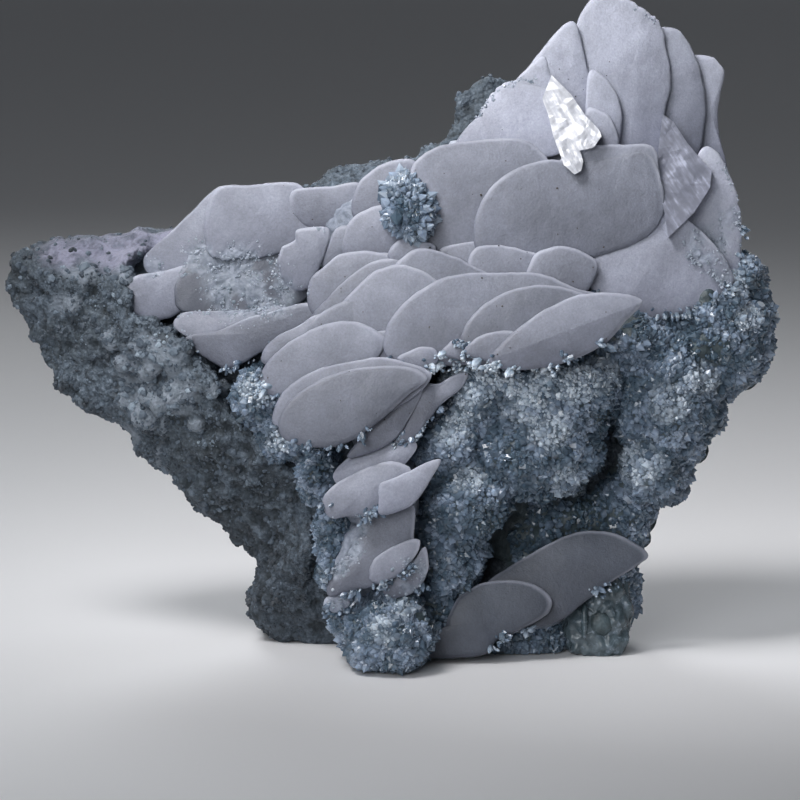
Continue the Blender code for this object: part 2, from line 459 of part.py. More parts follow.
def glint_shape(corners, back, front):
    """A clear crystal as a flat-faced block with slanting faces round its front."""
    bm = bmesh.new()
    face = bm.faces.new([bm.verts.new((across, up, back)) for across, up in corners])
    made = bmesh.ops.extrude_face_region(bm, geom=[face])["geom"]
    for vert in (v for v in made if isinstance(v, bmesh.types.BMVert)):
        vert.co.z = front
    edges = [e for e in bm.edges if min(v.co.z for v in e.verts) == front]
    bmesh.ops.bevel(bm, geom=edges, offset=GLINT_BEVEL, segments=1, profile=0.5, affect="EDGES", material=-1)
    for vert in bm.verts:
        vert.co = on_face(*vert.co)
    return bm


def paint(obj, colour, roughness, clear=0):
    material = bpy.data.materials.new(obj.name)
    material.use_nodes = True
    shader = material.node_tree.nodes["Principled BSDF"]
    shader.inputs["Base Color"].default_value = (*colour, 1)
    shader.inputs["Roughness"].default_value = roughness
    shader.inputs["Metallic"].default_value = 0
    shader.inputs["Transmission Weight"].default_value = clear
    shader.inputs["IOR"].default_value = 1.54
    obj.data.materials.clear()
    obj.data.materials.append(material)


def main():
    clear_scene()
    specimen = bpy.data.collections.new("Mineral specimen")
    cutters = bpy.data.collections.new("Cutters")
    bpy.context.scene.collection.children.link(specimen)
    bpy.context.scene.collection.children.link(cutters)
    floor = add_cutter("below_floor", box_space((-200, -200, -120), (200, 200, 0)), cutters)
    pocket = add_cutter("pocket_front", pocket_space(0), cutters)

    rock = build_rock(specimen, cutters, floor)
    main_blades = add_object("blades_main", blade_shells(MAIN_BLADES, BLADE_BEDS), specimen)
    foot_blades = add_object("blades_foot", blade_shells(FOOT_BLADES, FOOT_BEDS), specimen)
    main_room = add_cutter("main_room", blade_shells(MAIN_BLADES, BLADE_BEDS, GAP), cutters)
    foot_room = add_cutter("foot_room", blade_shells(FOOT_BLADES, FOOT_BEDS, GAP), cutters)
    crust = build_crust("druse_crust", CRUST_LOBES, CRUST_VOXEL, CRUST_SHARE, specimen)
    tuft = build_crust("druse_tuft", TUFT_LOBES, TUFT_VOXEL, TUFT_SHARE, specimen)
    upper = add_object("clear_crystal_upper", glint_shape(UPPER_GLINT, 5, 13), specimen)
    right = add_object("clear_crystal_right", glint_shape(RIGHT_GLINT, -2, 6.5), specimen)

    for obj in (main_blades, foot_blades, crust):
        add_boolean(obj, "INTERSECT", pocket)
        add_boolean(obj, "DIFFERENCE", floor)
    for obj in (crust, tuft, upper, right):
        add_boolean(obj, "DIFFERENCE", main_room)
    add_boolean(crust, "DIFFERENCE", foot_room)
    for obj in (rock, main_blades, foot_blades, crust, tuft, upper, right):
        keep_body(obj)

    paint(rock, (0.13, 0.16, 0.18), 0.85)
    paint(main_blades, (0.55, 0.54, 0.60), 0.5)
    paint(foot_blades, (0.50, 0.50, 0.56), 0.5)
    paint(crust, (0.25, 0.32, 0.37), 0.25)
    paint(tuft, (0.25, 0.32, 0.37), 0.25)
    paint(upper, (0.95, 0.96, 1.0), 0.05, clear=1)
    paint(right, (0.85, 0.87, 0.9), 0.1, clear=1)


main()
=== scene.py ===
import math

import bmesh
import bpy
import numpy as np
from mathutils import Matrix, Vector, noise
from mathutils.kdtree import KDTree


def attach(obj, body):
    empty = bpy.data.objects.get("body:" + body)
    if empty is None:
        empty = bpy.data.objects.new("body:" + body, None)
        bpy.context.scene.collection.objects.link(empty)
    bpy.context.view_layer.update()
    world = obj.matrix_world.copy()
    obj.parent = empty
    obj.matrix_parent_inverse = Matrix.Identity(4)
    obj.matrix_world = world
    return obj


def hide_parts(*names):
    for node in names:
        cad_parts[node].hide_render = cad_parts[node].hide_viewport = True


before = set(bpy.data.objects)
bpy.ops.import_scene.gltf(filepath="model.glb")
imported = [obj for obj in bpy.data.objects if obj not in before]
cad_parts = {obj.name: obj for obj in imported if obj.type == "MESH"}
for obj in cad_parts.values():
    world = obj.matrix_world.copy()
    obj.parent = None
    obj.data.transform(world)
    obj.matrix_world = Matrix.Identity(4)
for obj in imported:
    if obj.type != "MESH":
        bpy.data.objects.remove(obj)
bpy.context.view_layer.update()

# The host rock: a broken lump of dark blue-grey basalt full of small gas holes, its left wing left bare.
# It is one mass, rough all over, cut flat underneath, and hollowed in front where the pocket's minerals
# grew. It carries everything else.
MM = 0.001
FACE_LEAN = math.radians(8)
EYE_DISTANCE = 1000
EYE_ACROSS, EYE_UP = -5.4, 45.3
BASE_CENTRE = (8, 16)


def on_face(spots):
    """World places of (across, up, out) spots in millimetres, seen from the face's own eye point."""
    across, up, out = np.asarray(spots, float).reshape(-1, 3).T
    nearer = 1 - out / EYE_DISTANCE
    across = EYE_ACROSS + (across - EYE_ACROSS) * nearer
    up = EYE_UP + (up - EYE_UP) * nearer
    back = up * math.sin(FACE_LEAN) - out * math.cos(FACE_LEAN) - BASE_CENTRE[1]
    height = up * math.cos(FACE_LEAN) + out * math.sin(FACE_LEAN)
    return MM * np.column_stack((across - BASE_CENTRE[0], back, height))


def put_on_face(verts, spots):
    for vert, place in zip(verts, on_face(spots)):
        vert.co = place


def to_face(places):
    """The (across, up, out) spots of world places: on_face turned round."""
    x, y, z = np.asarray(places, float).reshape(-1, 3).T / MM
    x, y = x + BASE_CENTRE[0], y + BASE_CENTRE[1]
    out = z * math.sin(FACE_LEAN) - y * math.cos(FACE_LEAN)
    up = z * math.cos(FACE_LEAN) + y * math.sin(FACE_LEAN)
    nearer = 1 - out / EYE_DISTANCE
    return np.column_stack((EYE_ACROSS + (x - EYE_ACROSS) / nearer, EYE_UP + (up - EYE_UP) / nearer, out))


def round_loop(points, shares):
    """Points at shares of the way round a smooth closed curve through the given points."""
    points = np.array(points, float)
    place = np.mod(shares, 1) * len(points)
    first = np.floor(place).astype(int)
    t = (place - first)[:, None]
    a, b, c, d = (points[(first + k) % len(points)] for k in (-1, 0, 1, 2))
    return 0.5 * (2 * b + (c - a) * t + (2 * a - 5 * b + 4 * c - d) * t**2 + (3 * b - a - 3 * c + d) * t**3)


def add_piece(name, bm, smooth=True):
    """Makes an object of a bmesh, with its faces turned outwards."""
    mesh = bpy.data.meshes.new(name)
    bmesh.ops.recalc_face_normals(bm, faces=bm.faces)
    bm.to_mesh(mesh)
    bm.free()
    mesh.polygons.foreach_set("use_smooth", np.full(len(mesh.polygons), smooth))
    piece = bpy.data.objects.new(name, mesh)
    bpy.context.scene.collection.objects.link(piece)
    return piece


def settle(piece):
    """Makes the piece's modifiers final."""
    graph = bpy.context.evaluated_depsgraph_get()
    mesh = bpy.data.meshes.new_from_object(piece.evaluated_get(graph))
    piece.modifiers.clear()
    piece.data = mesh


def even_skin(piece, size, smooths=0):
    """Gives the piece one closed skin of even facets of this size, in millimetres."""
    remesh = piece.modifiers.new("Even skin", "REMESH")
    remesh.mode = "VOXEL"
    remesh.voxel_size = size * MM
    remesh.use_smooth_shade = True
    if smooths:
        soften = piece.modifiers.new("Soften", "SMOOTH")
        soften.factor = 0.5
        soften.iterations = smooths
    settle(piece)


def places_of(mesh):
    flat = np.empty(len(mesh.vertices) * 3, np.float32)
    mesh.vertices.foreach_get("co", flat)
    return flat.reshape(-1, 3).astype(float)


def normals_of(mesh):
    flat = np.empty(len(mesh.vertices) * 3, np.float32)
    mesh.vertex_normals.foreach_get("vector", flat)
    return flat.reshape(-1, 3).astype(float)


def move_to(mesh, places):
    mesh.vertices.foreach_set("co", places.astype(np.float32).ravel())
    mesh.update()


def set_values(mesh, name, values):
    mesh.attributes.new(name, "FLOAT", "POINT").data.foreach_set("value", np.asarray(values, np.float32))


def ripple(places, size, shift=0, octaves=1):
    """Smooth noise from about -1 to 1 at world places, with waves of this size in millimetres."""
    spots = (places / (size * MM) + shift).tolist()
    if octaves == 1:
        return np.array([noise.noise(p) for p in spots])
    return np.array([noise.fractal(p, 0.9, 2.1, octaves) for p in spots])


def smooth_step(values, low, high):
    t = np.clip((values - low) / (high - low), 0, 1)
    return t * t * (3 - 2 * t)


def blobs(spots, table):
    """How much each spot lies in soft round patches: (across, up, radius, amount) each."""
    total = np.zeros(len(spots))
    for across, up, radius, amount in table:
        away = np.hypot(spots[:, 0] - across, spots[:, 1] - up) / radius
        total = np.maximum(total, amount * smooth_step(-away, -1, -0.55))
    return total


ROCK_OUTLINE = [
    (-76, 69), (-72, 71.5), (-65, 74.5), (-55, 76), (-40, 78.5), (-24, 83.5), (-12, 89), (-4, 90.8), (2, 93),
    (6.5, 97.2), (9.3, 102.5), (14, 104.6), (23, 103), (34, 100), (45, 94), (51, 84), (54, 72), (56, 62), (55, 52),
    (50, 42), (46, 34), (38, 24), (36, 16), (35.5, 6), (33, -2), (20, -4), (0, -5), (-16, -3.5), (-26, 0.5),
    (-31, 6), (-29.5, 14), (-33.5, 19.5), (-37, 23.5), (-43, 27.5), (-45.5, 30.5), (-51, 32.5), (-54.5, 36.5),
    (-58, 39.5), (-64, 44), (-67, 48.5), (-71, 53.5), (-75, 61.5),
]
ROCK_MIDDLE = np.array([-4, 52])
ROUGH_SKIN, FINE_SKIN = 1.6, 0.66
ROCK_TURNS = [0, 20, 50, 90, 125, 155, 180]
ROCK_SPREAD = [0, 0.35, 0.62, 1, 0.93, 0.62, 0]
ROCK_DEPTH = [12, 12, 9, -8, -21, -30, -33]
POCKET_UP = [-30, 5, 11, 16, 26, 33, 38, 43, 48, 51, 56, 58.5, 60.5, 69, 72, 78, 140]
POCKET_LEFT = [-23, -23, -22, -21, -21.5, -24.5, -29, -35.5, -37, -39.5, -43, -45.5, -53, -53.8, -50.8, -50, -50]


def pocket_floor(spots):
    """How far out the rock comes under the pocket's minerals."""
    across, up = spots[:, 0], spots[:, 1]
    plate = np.exp(-((across / 42) ** 4) - ((up - 45) / 40) ** 4)
    swell = np.exp(-(((across + 10) / 26) ** 2) - ((up - 45) / 38) ** 2)
    return -8 + 4 * plate + 12 * swell


def pocket_left(spots):
    """How far left the pocket reaches at the spots' heights."""
    return np.interp(spots[:, 1], POCKET_UP, POCKET_LEFT)


def lowness(spots):
    """0 on the upper rock to 1 at its foot, where the rock and its crumbs are given painted shade."""
    return smooth_step(-spots[:, 1], -34, -8)


bm = bmesh.new()
verts = bmesh.ops.create_uvsphere(bm, u_segments=120, v_segments=36, radius=1)["verts"]
ball = np.array([v.co for v in verts])
turn = np.degrees(np.arccos(np.clip(ball[:, 2], -1, 1)))
rim = round_loop(ROCK_OUTLINE, 0.5 - np.arctan2(ball[:, 1], ball[:, 0]) / math.tau)
flat = ROCK_MIDDLE + np.interp(turn, ROCK_TURNS, ROCK_SPREAD)[:, None] * (rim - ROCK_MIDDLE)
rightness = np.clip((flat[:, 0] + 10) / 40, 0, 1)
out = np.interp(turn, ROCK_TURNS, ROCK_DEPTH) + 5 * rightness * np.sin(np.radians(turn))
put_on_face(verts, np.column_stack((flat, out)))
rock = add_piece("host_rock", bm)
even_skin(rock, ROUGH_SKIN)
for name, size, strength in (("Lumps", 18, 7), ("Grain", 5, 2.4)):
    texture = bpy.data.textures.new(name, "CLOUDS")
    texture.noise_scale = size * MM
    texture.noise_depth = 2
    lumps = rock.modifiers.new(name, "DISPLACE")
    lumps.texture = texture
    lumps.texture_coords = "GLOBAL"
    lumps.strength = strength * MM
settle(rock)

# the pocket is pressed into it, and the underside is cut flat
spots = to_face(places_of(rock.data))
inside = smooth_step(spots[:, 0] - pocket_left(spots), -0.6, 0.6)
floor = pocket_floor(spots) - 0.3
spots[:, 2] = np.minimum(spots[:, 2], floor * inside + spots[:, 2] * (1 - inside))
places = on_face(spots)
places[:, 2] = np.maximum(places[:, 2], 0)
move_to(rock.data, places)
even_skin(rock, FINE_SKIN)

# broken grain, gas holes and a few crumbly ledges
places, normals = places_of(rock.data), normals_of(rock.data)
spots = to_face(places)
ROCK_PALE = [
    (-64, 69.5, 3.2, 1), (-54.5, 69.5, 2.6, 0.9), (-50, 52, 7, 0.85), (-46, 46.5, 5.5, 0.9), (-53, 47, 5, 0.8),
    (-44.6, 46.6, 2.6, 1), (-39, 47, 1.8, 0.8), (-66, 62.5, 3, 0.7), (-54.5, 38.5, 3, 0.8), (-48, 44, 2.5, 0.9),
]
LILAC_LEDGE = [(-66, 74.4, 7, 1), (-57, 75, 8, 1), (-50, 75, 6, 1)]
pale = blobs(spots, ROCK_PALE) * (spots[:, 2] > -16)
ledge = blobs(spots, LILAC_LEDGE) * smooth_step(spots[:, 2] + 6 * ripple(places, 7, 13, 2), -15, -4)
chance = np.random.default_rng(11)
rough = 0.85 * ripple(places, 3.4, 7, 3) + 0.34 * ripple(places, 1.5, 23, 2) + 0.6 * ripple(places, 8, 3, 2)
rough += 2.2 * ripple(places, 15, 5, 2) * smooth_step(-spots[:, 2], 8, 16)
rough *= 1 - 0.65 * ledge - 0.35 * pale
tree = KDTree(len(places))
for k, place in enumerate(places):
    tree.insert(place, k)
tree.balance()
hole_shade = np.zeros(len(places))
push = np.zeros(len(places))
knob = np.zeros(len(places))
KNOBS = [
    (-45, 46.6, 2), (-39, 47.1, 1.1), (-63.9, 69.6, 1.6), (-53.5, 69.6, 1.4), (-54.5, 38.1, 2), (-66.2, 62.4, 1.5),
    (-51, 50, 1.4), (-49, 44, 1.6), (-53, 46, 1.3), (-48, 53, 1.2), (-42, 41, 1.2), (-57, 50, 1.4), (-61, 55,
    1.6),
]
GAS_HOLES = [
    (-48.5, 50.5, 1.9), (-27, 9, 1.6), (-24, 19, 1.2), (-62, 62, 0.9), (-39, 41, 1.7), (-30, 28, 1.5), (-66.5, 60,
    1.1), (-58, 57, 1.0), (-35, 32, 1.3), (-26, 5, 1.1),
]
front = np.flatnonzero((normals[:, 1] < -0.3) & (spots[:, 0] < -20))
spongy = np.flatnonzero((normals[:, 1] < 0) & (np.abs(spots[:, 0] + 32) < 10 - 0.3 * np.abs(spots[:, 1] - 32))
                        & (np.abs(spots[:, 1] - 30) < 17))
picked = [(tree.find(on_face((across, up, 4))[0])[1], radius) for across, up, radius in GAS_HOLES]
picked += list(zip(chance.choice(front, 170), chance.uniform(0.45, 1.05, 170)))
picked += list(zip(chance.choice(spongy, 240), chance.lognormal(-0.15, 0.35, 240)))
anywhere = chance.choice(len(places), 1300)
anywhere = anywhere[ripple(places[anywhere], 9, 27, 2) > 0.12]
picked += list(zip(anywhere, chance.lognormal(-0.25, 0.35, len(anywhere))))
for k, radius in picked:
    for _, near, away in tree.find_range(places[k], radius * 1.3 * MM):
        deep = 1 - (away / (radius * 1.3 * MM)) ** 2
        push[near] = min(push[near], -0.85 * radius * deep)
        hole_shade[near] = max(hole_shade[near], deep)
for across, up, radius in KNOBS:
    k = tree.find(on_face((across, up, 4))[0])[1]
    for _, near, away in tree.find_range(places[k], 1.3 * radius * MM):
        push[near] = max(push[near], 1.15 * radius * math.sqrt(1 - (away / (1.3 * radius * MM)) ** 2))
        rough[near] *= 0.35
        knob[near] = 1
vein = np.abs(spots[:, 0] + 48.3 - 0.5 * np.sin(spots[:, 1] / 2)) < 0.45
pale = np.maximum.reduce((pale, 0.9 * vein * (np.abs(spots[:, 1] - 39.5) < 7), 0.85 * knob))
push += 0.5 * vein * (np.abs(spots[:, 1] - 39.5) < 7)
places += normals * ((rough + push) * MM)[:, None]
places[:, 2] = np.maximum(places[:, 2], 0)
move_to(rock.data, places)
set_values(rock.data, "pale", pale)
# Painted shade: the rock is darkened towards its foot, where less light reaches it, and also in a patch at its left
# tip.
foot_shade_and_dark_tip = 0.75 * lowness(spots) * (spots[:, 2] > -20) + 0.25 * blobs(spots, [(-70, 66, 14, 1)])
set_values(rock.data, "foot_shade_and_dark_tip", foot_shade_and_dark_tip)
set_values(rock.data, "ledge", ledge)
# Painted shade: the gas holes and pits are painted near-black, the deeper into them the darker.
set_values(rock.data, "hole_shade", hole_shade * (1 - knob) * (1 - 0.7 * ledge))


def grey(value):
    return (value, value, value)


class Recipe:
    """One material's nodes. All sizes are in millimetres, on the piece's own coordinates."""

    def __init__(self, name):
        self.material = bpy.data.materials.new(name)
        self.material.use_nodes = True
        self.nodes = self.material.node_tree.nodes
        self.links = self.material.node_tree.links

    def feed(self, socket, value):
        """Wires a node's output to the socket, or sets a constant on it."""
        if isinstance(value, bpy.types.NodeSocket):
            self.links.new(value, socket)
        else:
            socket.default_value = (*value, 1) if socket.type == "RGBA" else value

    def texture(self, kind, size):
        texture = self.nodes.new(kind)
        self.feed(texture.inputs["Scale"], 1 / (size * MM))
        self.feed(texture.inputs["Vector"], self.nodes.new("ShaderNodeTexCoord").outputs["Object"])
        return texture

    def noise(self, size, detail=3, rough=0.55, warp=0.0):
        texture = self.texture("ShaderNodeTexNoise", size)
        for name, value in (("Detail", detail), ("Roughness", rough), ("Distortion", warp)):
            self.feed(texture.inputs[name], value)
        return texture.outputs["Fac"]

    def cells(self, size):
        """Distance from the middles of little round cells."""
        return self.texture("ShaderNodeTexVoronoi", size).outputs["Distance"]

    def value(self, name):
        """A value stored at the piece's corners."""
        attribute = self.nodes.new("ShaderNodeAttribute")
        attribute.attribute_name = name
        return attribute.outputs["Fac"]

    def ramp(self, factor, stops):
        """A colour ramp through (place, colour) stops."""
        ramp = self.nodes.new("ShaderNodeValToRGB")
        elements = ramp.color_ramp.elements
        while len(elements) < len(stops):
            elements.new(0.5)
        for element, (place, colour) in zip(elements, stops):
            element.position = place
            element.color = (*colour, 1)
        self.feed(ramp.inputs["Fac"], factor)
        return ramp.outputs["Color"]

    def blend(self, factor, first, second, kind="MIX"):
        mix = self.nodes.new("ShaderNodeMix")
        mix.data_type = "RGBA"
        mix.blend_type = kind
        mix.clamp_factor = True
        for k, value in ((0, factor), (6, first), (7, second)):
            self.feed(mix.inputs[k], value)
        return mix.outputs[2]

    def maths(self, kind, first, second):
        maths = self.nodes.new("ShaderNodeMath")
        maths.operation = kind
        self.feed(maths.inputs[0], first)
        self.feed(maths.inputs[1], second)
        return maths.outputs[0]

    def bump(self, height, strength, distance, under=None):
        bump = self.nodes.new("ShaderNodeBump")
        self.feed(bump.inputs["Strength"], strength)
        self.feed(bump.inputs["Distance"], distance * MM)
        self.feed(bump.inputs["Height"], height)
        if under:
            self.feed(bump.inputs["Normal"], under)
        return bump.outputs["Normal"]

    def finish(self, inputs):
        """Feeds the shader's inputs and gives the material."""
        for name, value in inputs.items():
            self.feed(self.nodes["Principled BSDF"].inputs[name], value)
        return self.material


look = Recipe("vesicular basalt")
colour = look.ramp(look.noise(1.1, detail=4, rough=0.65), [
    (0.3, (0.028, 0.036, 0.046)), (0.46, (0.066, 0.088, 0.113)), (0.58, (0.118, 0.15, 0.188)),
    (0.74, (0.245, 0.295, 0.355))])
broad = look.ramp(look.noise(11), [(0.38, grey(0)), (0.66, grey(0.55))])
colour = look.blend(broad, colour, (0.05, 0.062, 0.07))
crumbs = look.cells(0.8)
colour = look.blend(look.ramp(crumbs, [(0.0, grey(0.5)), (0.5, grey(0))]), colour, (0.17, 0.2, 0.235))
milky = look.ramp(look.noise(1.6), [(0.3, (0.17, 0.205, 0.24)), (0.7, (0.32, 0.36, 0.42))])
colour = look.blend(look.maths("MULTIPLY", look.value("pale"), 0.85), colour, milky)
lilac = look.ramp(look.noise(2.4, detail=4, warp=0.6), [(0.3, (0.10, 0.11, 0.15)), (0.55, (0.27, 0.275, 0.36))])
colour = look.blend(look.value("ledge"), colour, lilac)
# painted shade in the gas holes and pits
colour = look.blend(look.maths("MULTIPLY", look.value("hole_shade"), 0.75), colour, (0.012, 0.016, 0.018))
# painted shade: darker towards the foot, and in a patch at the left tip
colour = look.blend(look.value("foot_shade_and_dark_tip"), colour, (0.42, 0.44, 0.46), "MULTIPLY")
rock_stone = look.finish({
    "Base Color": colour, "Roughness": 0.82,
    "Normal": look.bump(look.maths("ADD", look.noise(0.5), crumbs), 0.9, 0.35)})
rock.data.materials.clear()
rock.data.materials.append(rock_stone)
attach(rock, "root")
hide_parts("matrix")

